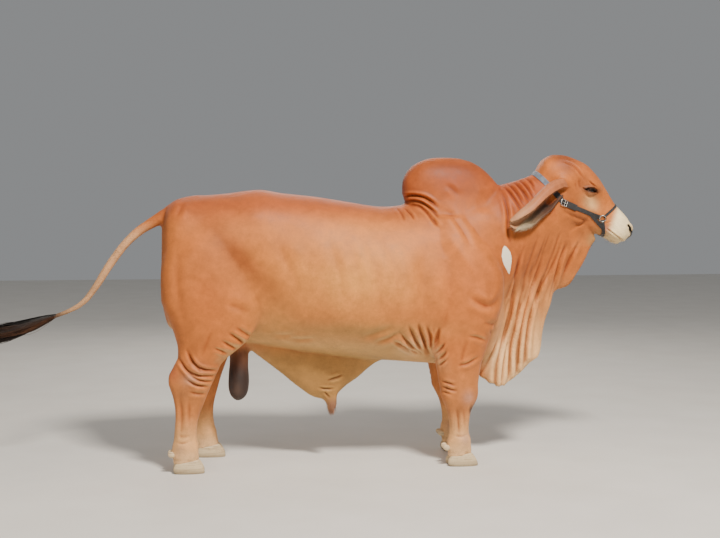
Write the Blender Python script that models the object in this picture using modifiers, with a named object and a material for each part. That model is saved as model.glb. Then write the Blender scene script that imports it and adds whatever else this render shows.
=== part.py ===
"""A life-size Brahman bull, standing square with its head up and its tail swung out behind.

The flesh is lofted from ring sections that run between two points of the side view, fused into one
skin, and then parted into named nodes by thin cuts. Metres, +X towards the head, +Y to the bull's
left, +Z up, with the floor at zero.
"""

import math
import random

import bmesh
import bpy
import numpy as np
from mathutils import Matrix, Vector
from mathutils.bvhtree import BVHTree

# Driving sizes. X is measured from the right hind hoof and moved to the middle of the box at the end.
GAP = 0.0003
MIDDLE_X = 0.556
LEG_SPREAD = 0.205
LEFT_HIND_STEP = 0.12
LEFT_FORE_STEP = 0.05
STEP_TOP_Z = 1.0
HOCK_CUT_Z = 0.47
KNEE_CUT_Z = 0.375
BODY_VOXEL = 0.0095
HEAD_VOXEL = 0.0045
BODY_TRIANGLES = 4800
HEAD_TRIANGLES = 2100
STRAP_SKIN_TRIANGLES = 900

# The feet: the height of the coronet before and behind, and the size of one claw.
CORONET_FRONT_Z = 0.078
CORONET_HEEL_Z = 0.052
CLAW_TOE = 0.090
CLAW_HEEL = 0.074
CLAW_HALF_WIDTH = 0.0315
CLAW_TOE_LEAN = 0.036
CLAW_HEEL_LEAN = 0.010
CLAW_TOP_SHARE = 0.92
SOLE_EDGE_Z = 0.010
CLEFT = 0.003
FORE_FOOT_X = 1.452
HIND_FOOT_X = -0.012
DEWCLAW_RADII = (0.026, 0.016, 0.018)
DEWCLAW_BACK = 0.082
DEWCLAW_OUT = 0.028
DEWCLAW_Z = 0.100
DEWCLAW_TURN = 25

# The head's own frame: its axis runs from the nape down to the muzzle.
NAPE = Vector((1.96, 0.0, 1.53))
FACE_DROP = 42
FACE_AXIS = Vector((math.cos(math.radians(FACE_DROP)), 0.0, -math.sin(math.radians(FACE_DROP))))
FACE_UP = Vector((math.sin(math.radians(FACE_DROP)), 0.0, math.cos(math.radians(FACE_DROP))))

# The eyes and lids. The opening's length runs nearly level, and the eye looks out and a little ahead.
EYE_PLACE = (0.207, 0.120, 0.0930)
EYE_RADIUS = 0.0210
LID_RADIUS = 0.0345
LID_OPENING = (0.0265, 0.0130)
LID_SLOPE = 14
EYE_LOOK = Vector((0.36, 1.0, -0.04))

# The line of the mouth in the head's frame: its corners, its middle in front, and the groove's size.
MOUTH_CORNER = (0.405, 0.030)
MOUTH_FRONT = (0.556, 0.052)
MOUTH_HALF_WIDTH = 0.075
MOUTH_DEPTH = 0.009
MOUTH_HALF_HEIGHT = 0.0028

# The halter, with its points in the side view.
STRAP_WIDTH = 0.022
STRAP_THICKNESS = 0.0045
RING_RADIUS = 0.018
RING_WIRE = 0.0035
FITTING_LIFT = 0.0045
BUCKLE_SIZE = (0.030, 0.026, 0.010)
BUCKLE_EDGE = 0.003
CROWN_BUCKLE_GAP = 0.013
CHEEK_BUCKLE_GAP = 0.015
NAPE_TOP = (1.862, 1.620)
CHEEK_KNOT = (2.034, 1.412)
NOSE_RING = (2.272, 1.326)
NOSE_TOP = (2.392, 1.422)
CHIN = (2.296, 1.195)

# Ring sections: front or top point (x, z), back or bottom point (x, z), centre y, half width, how far
# from the second point to the first the ring is widest, and the fullness of its two ends, where 2 is
# an ellipse.
TRUNK = [
    (-0.138, 1.280, -0.140, 0.870, 0, 0.125, 0.52, 2.3, 2.0),
    (-0.110, 1.395, -0.118, 0.760, 0, 0.190, 0.54, 2.4, 2.2),
    (-0.050, 1.436, -0.050, 0.715, 0, 0.232, 0.56, 2.3, 2.3),
    (0.070, 1.452, 0.060, 0.695, 0, 0.262, 0.52, 2.1, 2.3),
    (0.225, 1.467, 0.220, 0.680, 0, 0.285, 0.58, 2.2, 2.2),
    (0.387, 1.487, 0.380, 0.650, 0, 0.292, 0.60, 2.3, 2.1),
    (0.500, 1.466, 0.490, 0.630, 0, 0.305, 0.55, 2.3, 2.1),
    (0.657, 1.452, 0.650, 0.605, 0, 0.330, 0.50, 2.2, 2.1),
    (0.875, 1.418, 0.870, 0.575, 0, 0.345, 0.47, 2.1, 2.1),
    (1.060, 1.393, 1.060, 0.553, 0, 0.340, 0.46, 2.0, 2.1),
    (1.250, 1.412, 1.240, 0.536, 0, 0.315, 0.46, 2.0, 2.1),
    (1.400, 1.420, 1.400, 0.522, 0, 0.285, 0.46, 2.0, 2.0),
    (1.540, 1.420, 1.540, 0.520, 0, 0.245, 0.46, 2.0, 1.9),
    (1.640, 1.400, 1.650, 0.560, 0, 0.195, 0.46, 2.0, 1.9),
    (1.700, 1.300, 1.715, 0.700, 0, 0.120, 0.46, 2.0, 2.0),
]
HUMP = [
    (1.690, 1.330, 1.205, 1.330, 0, 0.180, 0.50, 2.0, 2.2),
    (1.714, 1.420, 1.192, 1.395, 0, 0.160, 0.48, 2.0, 2.2),
    (1.712, 1.475, 1.165, 1.455, 0, 0.146, 0.46, 2.3, 2.3),
    (1.690, 1.512, 1.160, 1.500, 0, 0.140, 0.45, 2.4, 2.4),
    (1.660, 1.552, 1.168, 1.545, 0, 0.132, 0.44, 2.4, 2.4),
    (1.622, 1.590, 1.192, 1.588, 0, 0.118, 0.43, 2.4, 2.4),
    (1.580, 1.620, 1.225, 1.620, 0, 0.096, 0.42, 2.3, 2.3),
    (1.530, 1.645, 1.272, 1.645, 0, 0.066, 0.42, 2.2, 2.2),
    (1.470, 1.660, 1.330, 1.661, 0, 0.030, 0.42, 2.0, 2.0),
]
NECK = [
    (1.400, 1.430, 1.480, 0.700, 0, 0.215, 0.48, 2.0, 2.0),
    (1.580, 1.455, 1.640, 0.760, 0, 0.212, 0.50, 2.4, 1.9),
    (1.705, 1.508, 1.780, 0.880, 0, 0.198, 0.52, 2.3, 1.8),
    (1.800, 1.534, 1.920, 1.020, 0, 0.172, 0.52, 2.1, 1.8),
    (1.890, 1.568, 2.030, 1.130, 0, 0.148, 0.52, 1.8, 1.8),
    (1.960, 1.605, 2.115, 1.205, 0, 0.128, 0.52, 1.9, 1.8),
    (2.030, 1.610, 2.170, 1.270, 0, 0.100, 0.52, 2.0, 1.9),
]
FORELEG = [
    (1.500, 1.340, 1.290, 1.340, 0.105, 0.105, 0.50, 2.0, 2.0),
    (1.600, 1.200, 1.270, 1.200, 0.165, 0.112, 0.52, 2.0, 2.0),
    (1.668, 1.060, 1.290, 1.060, 0.192, 0.116, 0.55, 2.1, 2.0),
    (1.684, 0.930, 1.320, 0.930, 0.200, 0.120, 0.58, 2.2, 2.0),
    (1.655, 0.810, 1.315, 0.800, 0.205, 0.118, 0.55, 2.2, 2.0),
    (1.612, 0.705, 1.302, 0.690, 0.208, 0.104, 0.52, 2.2, 2.0),
    (1.586, 0.620, 1.305, 0.610, 0.208, 0.093, 0.52, 2.2, 2.0),
    (1.560, 0.545, 1.313, 0.545, 0.208, 0.083, 0.52, 2.2, 2.1),
    (1.549, 0.475, 1.325, 0.475, 0.208, 0.074, 0.52, 2.2, 2.1),
    (1.541, 0.410, 1.338, 0.410, 0.208, 0.069, 0.52, 2.3, 2.2),
    (1.535, 0.360, 1.350, 0.360, 0.208, 0.067, 0.54, 2.3, 2.2),
    (1.520, 0.312, 1.364, 0.312, 0.207, 0.060, 0.54, 2.2, 2.2),
    (1.500, 0.255, 1.384, 0.255, 0.206, 0.048, 0.52, 2.1, 2.2),
    (1.496, 0.190, 1.391, 0.190, 0.205, 0.045, 0.50, 2.1, 2.2),
    (1.506, 0.125, 1.383, 0.125, 0.205, 0.054, 0.50, 2.2, 2.2),
    (1.516, 0.080, 1.380, 0.080, 0.205, 0.062, 0.50, 2.3, 2.2),
    (1.526, 0.045, 1.380, 0.045, 0.205, 0.064, 0.50, 2.4, 2.2),
]
HINDLEG = [
    (0.330, 1.320, -0.020, 1.320, 0.110, 0.115, 0.55, 2.0, 2.0),
    (0.410, 1.180, -0.115, 1.180, 0.150, 0.134, 0.50, 2.0, 2.1),
    (0.425, 1.040, -0.146, 1.040, 0.165, 0.142, 0.46, 2.0, 2.2),
    (0.410, 0.920, -0.146, 0.920, 0.180, 0.138, 0.45, 2.0, 2.2),
    (0.375, 0.820, -0.112, 0.820, 0.190, 0.126, 0.46, 2.0, 2.2),
    (0.330, 0.720, -0.072, 0.720, 0.198, 0.108, 0.48, 2.0, 2.1),
    (0.262, 0.650, -0.058, 0.650, 0.202, 0.092, 0.50, 2.0, 2.1),
    (0.208, 0.612, -0.058, 0.612, 0.204, 0.081, 0.50, 2.0, 2.1),
    (0.172, 0.575, -0.074, 0.575, 0.205, 0.072, 0.52, 2.1, 2.0),
    (0.153, 0.535, -0.099, 0.535, 0.205, 0.064, 0.56, 2.1, 1.8),
    (0.135, 0.497, -0.115, 0.497, 0.205, 0.060, 0.60, 2.2, 1.7),
    (0.112, 0.452, -0.109, 0.452, 0.205, 0.057, 0.60, 2.2, 1.8),
    (0.095, 0.410, -0.090, 0.410, 0.205, 0.054, 0.58, 2.2, 2.0),
    (0.074, 0.350, -0.079, 0.350, 0.205, 0.049, 0.56, 2.1, 2.1),
    (0.048, 0.275, -0.077, 0.275, 0.205, 0.044, 0.52, 2.1, 2.1),
    (0.038, 0.200, -0.082, 0.200, 0.205, 0.043, 0.50, 2.1, 2.2),
    (0.042, 0.130, -0.087, 0.130, 0.205, 0.052, 0.50, 2.2, 2.2),
    (0.052, 0.082, -0.089, 0.082, 0.205, 0.059, 0.50, 2.3, 2.2),
    (0.060, 0.045, -0.088, 0.045, 0.205, 0.061, 0.50, 2.4, 2.2),
]
SHEATH = [
    (0.300, 0.680, 0.315, 0.632, 0, 0.030, 0.60, 2.0, 2.0),
    (0.380, 0.700, 0.382, 0.574, 0, 0.055, 0.70, 2.0, 1.6),
    (0.490, 0.690, 0.490, 0.490, 0, 0.066, 0.70, 2.0, 1.6),
    (0.599, 0.670, 0.599, 0.398, 0, 0.068, 0.70, 2.0, 1.6),
    (0.690, 0.660, 0.700, 0.338, 0, 0.066, 0.66, 2.0, 1.7),
    (0.770, 0.650, 0.785, 0.352, 0, 0.062, 0.62, 2.0, 1.8),
    (0.830, 0.640, 0.850, 0.410, 0, 0.060, 0.62, 2.0, 1.9),
    (0.900, 0.630, 0.912, 0.448, 0, 0.056, 0.64, 2.0, 1.8),
    (0.980, 0.620, 0.985, 0.515, 0, 0.046, 0.66, 2.0, 1.8),
    (1.050, 0.600, 1.050, 0.550, 0, 0.025, 0.60, 2.0, 2.0),
]
SHEATH_TIP = [
    (0.815, 0.420, 0.715, 0.400, 0, 0.044, 0.50, 2.0, 2.0),
    (0.803, 0.350, 0.733, 0.335, 0, 0.036, 0.50, 2.0, 2.0),
    (0.806, 0.300, 0.750, 0.292, 0, 0.030, 0.50, 2.0, 2.0),
    (0.797, 0.280, 0.762, 0.276, 0, 0.018, 0.50, 2.0, 2.0),
]
SCROTUM = [
    (0.330, 0.740, 0.215, 0.740, 0, 0.050, 0.50, 2.0, 2.0),
    (0.324, 0.610, 0.218, 0.610, 0, 0.046, 0.50, 2.0, 2.0),
    (0.320, 0.530, 0.214, 0.530, 0, 0.050, 0.50, 2.0, 2.0),
    (0.325, 0.460, 0.208, 0.460, 0, 0.066, 0.50, 2.1, 2.1),
    (0.322, 0.405, 0.209, 0.400, 0, 0.072, 0.50, 2.2, 2.2),
    (0.302, 0.360, 0.226, 0.357, 0, 0.056, 0.50, 2.2, 2.2),
    (0.280, 0.342, 0.250, 0.340, 0, 0.026, 0.50, 2.0, 2.0),
]
# The tail: centre line x, z and half thickness, from inside the rump to the end of the dock. The
# locks of the switch grow from its last stretch.
TAIL_LINE = [
    (0.080, 1.410, 0.050),
    (-0.020, 1.400, 0.048),
    (-0.100, 1.358, 0.040),
    (-0.180, 1.315, 0.031),
    (-0.270, 1.257, 0.027),
    (-0.360, 1.163, 0.025),
    (-0.435, 1.055, 0.024),
    (-0.500, 0.952, 0.021),
    (-0.560, 0.882, 0.018),
    (-0.640, 0.838, 0.015),
    (-0.740, 0.803, 0.013),
    (-0.860, 0.772, 0.011),
    (-0.960, 0.742, 0.006),
]
# The switch: where its hair begins and ends, how far along the dock its locks are rooted, how many
# there are, how far each turns from the last round the dock, and how far they spread.
SWITCH_X = -0.72
SWITCH_END = (-1.335, 0.640)
SWITCH_ROOTS = (0.012, 0.227)
SWITCH_LOCKS = 16
SWITCH_TURN = 2.4
SWITCH_SPREAD = 0.034
LOCK_STEPS = 5
LOCK_WIDTHS = (0.026, 0.038)
LOCK_THICKNESS = 0.012
LOCK_BEND = 0.014

# Round masses of the body: place (x, out, z), radii and turn about Y in degrees.
BODY_MASSES = {
    "pin": ((-0.050, 0.105, 1.265), (0.055, 0.050, 0.060), 0),
    "shoulder": ((1.575, 0.160, 1.180), (0.165, 0.062, 0.200), -12),
}

# Head rings in the head's frame: distance down the face, top, bottom, half width, then as above.
SKULL = [
    (-0.083, 0.098, 0.045, 0.040, 0.50, 2.0, 2.0),
    (-0.064, 0.140, -0.020, 0.078, 0.55, 2.3, 2.0),
    (-0.022, 0.174, -0.070, 0.104, 0.58, 2.5, 2.0),
    (0.040, 0.203, -0.095, 0.116, 0.60, 2.6, 2.0),
    (0.105, 0.223, -0.104, 0.119, 0.64, 2.7, 2.0),
    (0.160, 0.222, -0.106, 0.116, 0.66, 2.7, 1.9),
    (0.215, 0.217, -0.104, 0.104, 0.66, 2.6, 1.9),
    (0.275, 0.203, -0.094, 0.088, 0.62, 2.4, 1.9),
    (0.335, 0.185, -0.070, 0.078, 0.58, 2.4, 1.9),
    (0.390, 0.173, -0.032, 0.075, 0.54, 2.4, 2.1),
    (0.440, 0.171, -0.006, 0.079, 0.52, 2.5, 2.3),
    (0.485, 0.164, 0.005, 0.083, 0.54, 2.7, 2.5),
    (0.520, 0.149, 0.021, 0.080, 0.54, 2.9, 2.6),
    (0.545, 0.131, 0.040, 0.068, 0.54, 2.8, 2.6),
    (0.560, 0.112, 0.066, 0.044, 0.54, 2.4, 2.4),
]
# Masses that round the skull out: place (down the face, up, out), radii and turn about Y in degrees.
HEAD_MASSES = {
    "brow": ((0.164, 0.146, 0.078), (0.092, 0.034, 0.026), 26),
    "lids": (EYE_PLACE, (LID_RADIUS, LID_RADIUS, LID_RADIUS * 0.92), LID_SLOPE),
    "cheek": ((0.200, -0.012, 0.068), (0.105, 0.036, 0.084), FACE_DROP),
    "face_crest": ((0.300, 0.062, 0.072), (0.075, 0.013, 0.014), FACE_DROP),
    "nostril_wing": ((0.514, 0.118, 0.056), (0.032, 0.026, 0.030), FACE_DROP),
    "lip": ((0.470, 0.050, 0.062), (0.060, 0.020, 0.022), FACE_DROP),
    "ear_root": ((0.062, 0.058, 0.094), (0.060, 0.040, 0.046), FACE_DROP - 14),
}
CHIN_MASS = ((0.515, 0.026, 0.0), (0.036, 0.056, 0.017), FACE_DROP - 8)
NOSTRIL = ((0.528, 0.113, 0.064), (0.0170, 0.026, 0.0115), FACE_DROP + 30)
NOSTRIL_TAIL = ((0.513, 0.124, 0.068), (0.0200, 0.022, 0.0080), FACE_DROP - 10)

# The ear: its upper fold as (x, out, z) from root to tip, its section across as (out, up) from the
# outer rim over the fold and down to the lower rim, near the root and in the middle, and its size
# along its length.
EAR_FOLD = [
    (2.092, 0.062, 1.530),
    (2.030, 0.112, 1.545),
    (1.965, 0.152, 1.531),
    (1.890, 0.186, 1.482),
    (1.820, 0.214, 1.415),
    (1.755, 0.232, 1.365),
    (1.708, 0.244, 1.322),
]
EAR_ROOT_SECTION = [
    (0.040, -0.062),
    (0.044, -0.026),
    (0.014, 0.000),
    (-0.020, -0.014),
    (-0.034, -0.052),
    (-0.020, -0.088),
    (0.020, -0.092),
]
EAR_SECTION = [
    (0.056, -0.050),
    (0.046, -0.016),
    (0.014, 0.000),
    (-0.018, -0.022),
    (-0.030, -0.070),
    (-0.020, -0.116),
    (0.014, -0.142),
]
EAR_SIZE = [(0.0, 0.62), (0.16, 0.80), (0.36, 1.08), (0.55, 1.06), (0.75, 0.86), (0.90, 0.58), (1.0, 0.22)]
EAR_WALL = 0.0075
EAR_ROOT_SHARE = 0.35
EAR_STEPS = 12
EAR_LANES = 8

# The dewlap's hanging edge from under the chin back to the brisket, as (x, z).
DEWLAP_EDGE = [
    (2.262, 1.205),
    (2.236, 1.160),
    (2.196, 1.088),
    (2.145, 1.010),
    (2.110, 0.940),
    (2.060, 0.922),
    (2.020, 0.915),
    (2.003, 0.860),
    (1.980, 0.790),
    (1.964, 0.690),
    (1.948, 0.590),
    (1.925, 0.537),
    (1.885, 0.520),
    (1.858, 0.478),
    (1.815, 0.437),
    (1.765, 0.405),
    (1.715, 0.380),
    (1.660, 0.405),
    (1.605, 0.440),
    (1.560, 0.500),
]
# Where the dewlap grows from the neck, point for point from chin to brisket.
DEWLAP_ROOT_START = Vector((2.205, 0.0, 1.305))
DEWLAP_ROOT_BEND = Vector((1.900, 0.0, 1.210))
DEWLAP_ROOT_END = Vector((1.500, 0.0, 0.690))
DEWLAP_COLUMNS = 96
DEWLAP_ROWS = 20
DEWLAP_ROOT_HALF = (0.045, 0.075)
DEWLAP_HEM_HALF = (0.020, 0.010)
PLEATS = 7.5
PLEAT_HALF = 0.009
SWAYS = 4.2
SWAY = 0.022


def clear_scene():
    for item in list(bpy.data.objects):
        bpy.data.objects.remove(item, do_unlink=True)


def new_collection(name):
    collection = bpy.data.collections.new(name)
    bpy.context.scene.collection.children.link(collection)
    return collection


def finish(name, colour, roughness, metallic=0.0):
    """A Principled material from an sRGB-like linear colour."""
    made = bpy.data.materials.new(name)
    made.use_nodes = True
    shader = made.node_tree.nodes["Principled BSDF"]
    shader.inputs["Base Color"].default_value = (*colour, 1.0)
    shader.inputs["Roughness"].default_value = roughness
    shader.inputs["Metallic"].default_value = metallic
    return made


def object_from(name, shape, collection):
    """An object in the collection from a bmesh, which is freed, or from a mesh."""
    if isinstance(shape, bmesh.types.BMesh):
        bmesh.ops.recalc_face_normals(shape, faces=shape.faces)
        mesh = bpy.data.meshes.new(name)
        shape.to_mesh(mesh)
        shape.free()
    else:
        mesh = shape
    made = bpy.data.objects.new(name, mesh)
    collection.objects.link(made)
    return made


def helper(name, shape):
    """An object that only shapes others, and so isn't rendered."""
    made = object_from(name, shape, helpers)
    made.hide_render = True
    made.display_type = "WIRE"
    return made


def evaluated_mesh(item):
    """The object's mesh with its modifiers applied."""
    graph = bpy.context.evaluated_depsgraph_get()
    graph.update()
    mesh = bpy.data.meshes.new_from_object(item.evaluated_get(graph))
    mesh.transform(item.matrix_world)
    return mesh


def gentle_curve(knots, values, at):
    """Smooth interpolation that doesn't overshoot its values (monotone cubic), column by column."""
    knots = np.asarray(knots, float)
    values = np.asarray(values, float)
    step = np.diff(knots)[:, None]
    slope = np.diff(values, axis=0) / step
    inner = np.zeros_like(values)
    same_way = slope[:-1] * slope[1:] > 0
    with np.errstate(divide="ignore", invalid="ignore"):
        harmonic = 2 / (1 / slope[:-1] + 1 / slope[1:])
    inner[1:-1] = np.where(same_way, harmonic, 0)
    inner[0], inner[-1] = slope[0], slope[-1]
    index = np.clip(np.searchsorted(knots, at, side="right") - 1, 0, len(knots) - 2)
    width = step[index]
    t = ((at - knots[index])[:, None]) / width
    return (
        (2 * t**3 - 3 * t**2 + 1) * values[index]
        + (t**3 - 2 * t**2 + t) * width * inner[index]
        + (3 * t**2 - 2 * t**3) * values[index + 1]
        + (t**3 - t**2) * width * inner[index + 1]
    )


def refined(sections, spacing):
    """The sections, with more put between them so that they lie about that far apart."""
    table = np.array(sections, float)
    middle = (table[:, 0:2] + table[:, 2:4]) / 2
    run = np.concatenate([[0], np.cumsum(np.linalg.norm(np.diff(middle, axis=0), axis=1) + 1e-6)])
    count = max(len(sections), int(run[-1] / spacing) + 1)
    return gentle_curve(run, table, np.linspace(0, run[-1], count))


def ring_points(section, count):
    """Points round one section, from its first point round by its left side."""
    ax, az, bx, bz, side, half, widest, first_full, second_full = section
    first, second = Vector((ax, side, az)), Vector((bx, side, bz))
    centre = second.lerp(first, widest)
    points = []
    for i in range(count):
        turn = 2 * math.pi * i / count
        along, across = math.cos(turn), math.sin(turn)
        full = first_full if along >= 0 else second_full
        along = math.copysign(abs(along) ** (2 / full), along)
        across = math.copysign(abs(across) ** (2 / full), across)
        reach = (first - centre) if along >= 0 else (centre - second)
        points.append(centre + reach * along + Vector((0, half * across, 0)))
    return points


def skin_rings(rings):
    """A closed bmesh through rings of points, its ends closed by a fan round a raised middle."""
    shape = bmesh.new()
    loops = [[shape.verts.new(p) for p in ring] for ring in rings]
    for lower, upper in zip(loops, loops[1:]):
        for i in range(len(lower)):
            j = (i + 1) % len(lower)
            shape.faces.new((lower[i], lower[j], upper[j], upper[i]))
    for loop in (loops[0], loops[-1]):
        middle = sum((v.co for v in loop), Vector()) / len(loop)
        tip = shape.verts.new(middle)
        for i in range(len(loop)):
            shape.faces.new((loop[i], loop[(i + 1) % len(loop)], tip))
    return shape


def loft(name, sections, spacing=0.03, count=32, shift=None):
    """A helper solid through the sections. shift moves a point (x, y, z) and gives the new one."""
    rings = [ring_points(section, count) for section in refined(sections, spacing)]
    if shift:
        rings = [[shift(p) for p in ring] for ring in rings]
    return helper(name, skin_rings(rings))


def ball(name, centre, radii, turn=0.0, segments=24, rings=16):
    """A helper ellipsoid, turned about Y by that many degrees."""
    shape = bmesh.new()
    bmesh.ops.create_uvsphere(shape, u_segments=segments, v_segments=rings, radius=1)
    matrix = (
        Matrix.Translation(centre)
        @ Matrix.Rotation(math.radians(turn), 4, "Y")
        @ Matrix.Diagonal((*radii, 1))
    )
    bmesh.ops.transform(shape, matrix=matrix, verts=shape.verts)
    return helper(name, shape)


def face_mass(name, mass, side=1):
    """A ball of the head, on the bull's left (+1), right (-1) or middle."""
    (down, up, out), radii, turn = mass
    return ball(name, face_point(down, up, side * out), radii, turn)


def face_point(down, up, side=0.0):
    """A point of the head's frame in the bull's."""
    return NAPE + FACE_AXIS * down + FACE_UP * up + Vector((0, side, 0))


def head_loft(name, rows):
    """A loft of the head, whose rows are in the head's frame."""
    sections = []
    for down, top, bottom, *rest in rows:
        high, low = face_point(down, top), face_point(down, bottom)
        sections.append((high.x, high.z, low.x, low.z, 0, *rest))
    return loft(name, sections, spacing=0.012, count=40)


def line_sections(line):
    """Ring sections square to a centre line of (x, z, half thickness)."""
    table = np.array(line)
    sections = []
    for i, (x, z, half) in enumerate(line):
        before, after = table[max(i - 1, 0)], table[min(i + 1, len(table) - 1)]
        along = Vector((after[0] - before[0], 0, after[1] - before[1])).normalized()
        up = Vector((-along.z, 0, along.x)) * -half
        sections.append((x + up.x, z + up.z, x - up.x, z - up.z, 0, half, 0.5, 2.0, 2.0))
    return sections


def root_point(share):
    """A point of the line where the dewlap grows from the neck, 0 at the chin and 1 at the brisket."""
    near = DEWLAP_ROOT_START.lerp(DEWLAP_ROOT_BEND, share)
    far = DEWLAP_ROOT_BEND.lerp(DEWLAP_ROOT_END, share)
    return near.lerp(far, share)


def dewlap():
    """The hanging fold of skin under the neck: two faces that meet at its edge, thrown into pleats."""
    across, down = DEWLAP_COLUMNS, DEWLAP_ROWS
    edge = np.array(DEWLAP_EDGE)
    run = np.concatenate([[0], np.cumsum(np.linalg.norm(np.diff(edge, axis=0), axis=1))])
    line = gentle_curve(run / run[-1], edge, np.linspace(0, 1, across + 1))
    shape = bmesh.new()
    faces = {}
    for side in (-1, 1):
        rows = []
        for i, (ex, ez) in enumerate(line):
            share = i / across
            root, tip = root_point(share), Vector((ex, 0, ez))
            column = []
            for j in range(down + 1):
                fall = j / down
                half = dewlap_half_thickness(share, fall)
                sway = dewlap_sway(share, fall)
                place = root.lerp(tip, fall)
                column.append(shape.verts.new(place + Vector((0, sway + side * half, 0))))
            rows.append(column)
        for a, b in zip(rows, rows[1:]):
            for j in range(down):
                shape.faces.new((a[j], b[j], b[j + 1], a[j + 1]))
        faces[side] = rows
    right, left = faces[-1], faces[1]
    for rows_pair in (0, across):
        near, far = right[rows_pair], left[rows_pair]
        for j in range(down):
            shape.faces.new((near[j], near[j + 1], far[j + 1], far[j]))
    for i in range(across):
        shape.faces.new((right[i][0], right[i + 1][0], left[i + 1][0], left[i][0]))
        shape.faces.new((right[i][down], right[i + 1][down], left[i + 1][down], left[i][down]))
    return helper("dewlap_mass", shape)


def dewlap_half_thickness(share, fall):
    """Half the dewlap's thickness: full at the neck, a rounded hem below, with pleats in between."""
    root = DEWLAP_ROOT_HALF[0] + DEWLAP_ROOT_HALF[1] * math.sin(math.pi * min(1, share * 1.05))
    hem = DEWLAP_HEM_HALF[0] + DEWLAP_HEM_HALF[1] * math.sin(math.pi * share)
    body = hem + (root - hem) * (1 - fall) ** 1.6
    rounding = math.sqrt(max(0.0, 1 - max(0.0, (fall - 0.9) / 0.1) ** 2)) * 0.85 + 0.15
    pleat = PLEAT_HALF * math.sin(math.tau * PLEATS * share) * math.sin(math.pi * min(1, fall * 1.1))
    return max(0.006, (body + pleat) * rounding)


def dewlap_sway(share, fall):
    """How far the dewlap's middle swings to one side in its pleats."""
    return SWAY * math.sin(math.tau * SWAYS * share + 0.6) * fall**1.3


def fused(name, pieces, voxel, rounds):
    """One closed skin over the pieces, remeshed and smoothed."""
    shape = bmesh.new()
    for piece in pieces:
        shape.from_mesh(evaluated_mesh(piece))
    skin = helper(name, shape)
    remesh = skin.modifiers.new("one_skin", "REMESH")
    remesh.mode = "VOXEL"
    remesh.voxel_size = voxel
    smooth = skin.modifiers.new("soften", "SMOOTH")
    smooth.factor = 0.5
    smooth.iterations = rounds
    skin.data = evaluated_mesh(skin)
    skin.modifiers.clear()
    keep_largest(skin)
    return skin


def thinned(skin, triangles):
    """The skin with its faces collapsed, least on its bends, to that many triangles."""
    thin = skin.modifiers.new("fewer_faces", "DECIMATE")
    thin.ratio = min(1.0, triangles / len(skin.data.polygons))
    skin.data = evaluated_mesh(skin)
    skin.modifiers.clear()
    keep_largest(skin)
    return skin


def keep_largest(item):
    """Drops all but the largest closed surface of a mesh object, and makes it triangles."""
    shape = bmesh.new()
    shape.from_mesh(item.data)
    bmesh.ops.remove_doubles(shape, verts=shape.verts, dist=1e-6)
    shape.verts.ensure_lookup_table()
    unseen = set(shape.verts)
    islands = []
    while unseen:
        start = unseen.pop()
        island, edge = {start}, [start]
        while edge:
            here = edge.pop()
            for link in here.link_edges:
                other = link.other_vert(here)
                if other in unseen:
                    unseen.discard(other)
                    island.add(other)
                    edge.append(other)
        islands.append(island)
    islands.sort(key=len, reverse=True)
    loose = [v for island in islands[1:] for v in island]
    bmesh.ops.delete(shape, geom=loose, context="VERTS")
    bmesh.ops.triangulate(shape, faces=shape.faces)
    shape.to_mesh(item.data)
    shape.free()


def boolean(item, operation, other):
    """Applies one Boolean of the object with another to its mesh."""
    step = item.modifiers.new(operation.lower(), "BOOLEAN")
    step.operation = operation
    step.object = other
    step.solver = "MANIFOLD"
    item.data = evaluated_mesh(item)
    item.modifiers.clear()
    return item


def copy_of(item, name):
    return helper(name, item.data.copy())


def grown(item, name, by):
    """A copy whose surface stands that far out from the object's."""
    bigger = copy_of(item, name)
    swell = bigger.modifiers.new("swell", "DISPLACE")
    swell.mid_level = 0
    swell.strength = by
    bigger.data = evaluated_mesh(bigger)
    bigger.modifiers.clear()
    return bigger


def inset(outline, by):
    """A 2D outline, counter-clockwise, drawn in by that distance along every edge."""
    moved = []
    count = len(outline)
    for i in range(count):
        a, b, c = (np.array(outline[(i + k) % count], float) for k in (-1, 0, 1))
        first, second = (b - a) / np.linalg.norm(b - a), (c - b) / np.linalg.norm(c - b)
        n1, n2 = np.array([-first[1], first[0]]), np.array([-second[1], second[0]])
        system = np.array([n1, n2])
        if abs(np.linalg.det(system)) < 1e-6:
            moved.append(tuple(b + n1 * by))
            continue
        moved.append(tuple(np.linalg.solve(system, [n1 @ b + by, n2 @ b + by])))
    return moved


def prism(name, outline, low, high, along):
    """A helper solid with that outline, in the XZ plane along Y or in the YZ plane along X."""
    shape = bmesh.new()
    ends = []
    for depth in (low, high):
        if along == "Y":
            points = [Vector((u, depth, v)) for u, v in outline]
        else:
            points = [Vector((depth, u, v)) for u, v in outline]
        ends.append([shape.verts.new(p) for p in points])
    shape.faces.new(ends[0])
    shape.faces.new(list(reversed(ends[1])))
    count = len(outline)
    for i in range(count):
        j = (i + 1) % count
        shape.faces.new((ends[0][i], ends[1][i], ends[1][j], ends[0][j]))
    return helper(name, shape)


def area_sign(outline):
    pairs = zip(outline, outline[1:] + outline[:1])
    return sum(a[0] * b[1] - b[0] * a[1] for a, b in pairs)


def take(name, source, outline, low, high, along, look):
    """Cuts the part of source inside the prism off as a node, with the gap between the two."""
    if area_sign(outline) < 0:
        outline = outline[::-1]
    full = prism(name + "_cut", outline, low, high, along)
    drawn_in = prism(name + "_keep", inset(outline, GAP), low + GAP, high - GAP, along)
    node = node_from(name, source.data.copy(), look)
    boolean(node, "INTERSECT", drawn_in)
    keep_largest(node)
    boolean(source, "DIFFERENCE", full)
    keep_largest(source)
    return node


def node_from(name, shape, look):
    node = object_from(name, shape, bull)
    node.data.materials.clear()
    node.data.materials.append(look)
    return node


def stepping(step):
    """A function that leans a leg ahead, its foot by the whole step."""

    def move(p):
        share = max(0.0, 1 - p.z / STEP_TOP_Z)
        return Vector((p.x + step * share, p.y, p.z))

    return move


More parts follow.
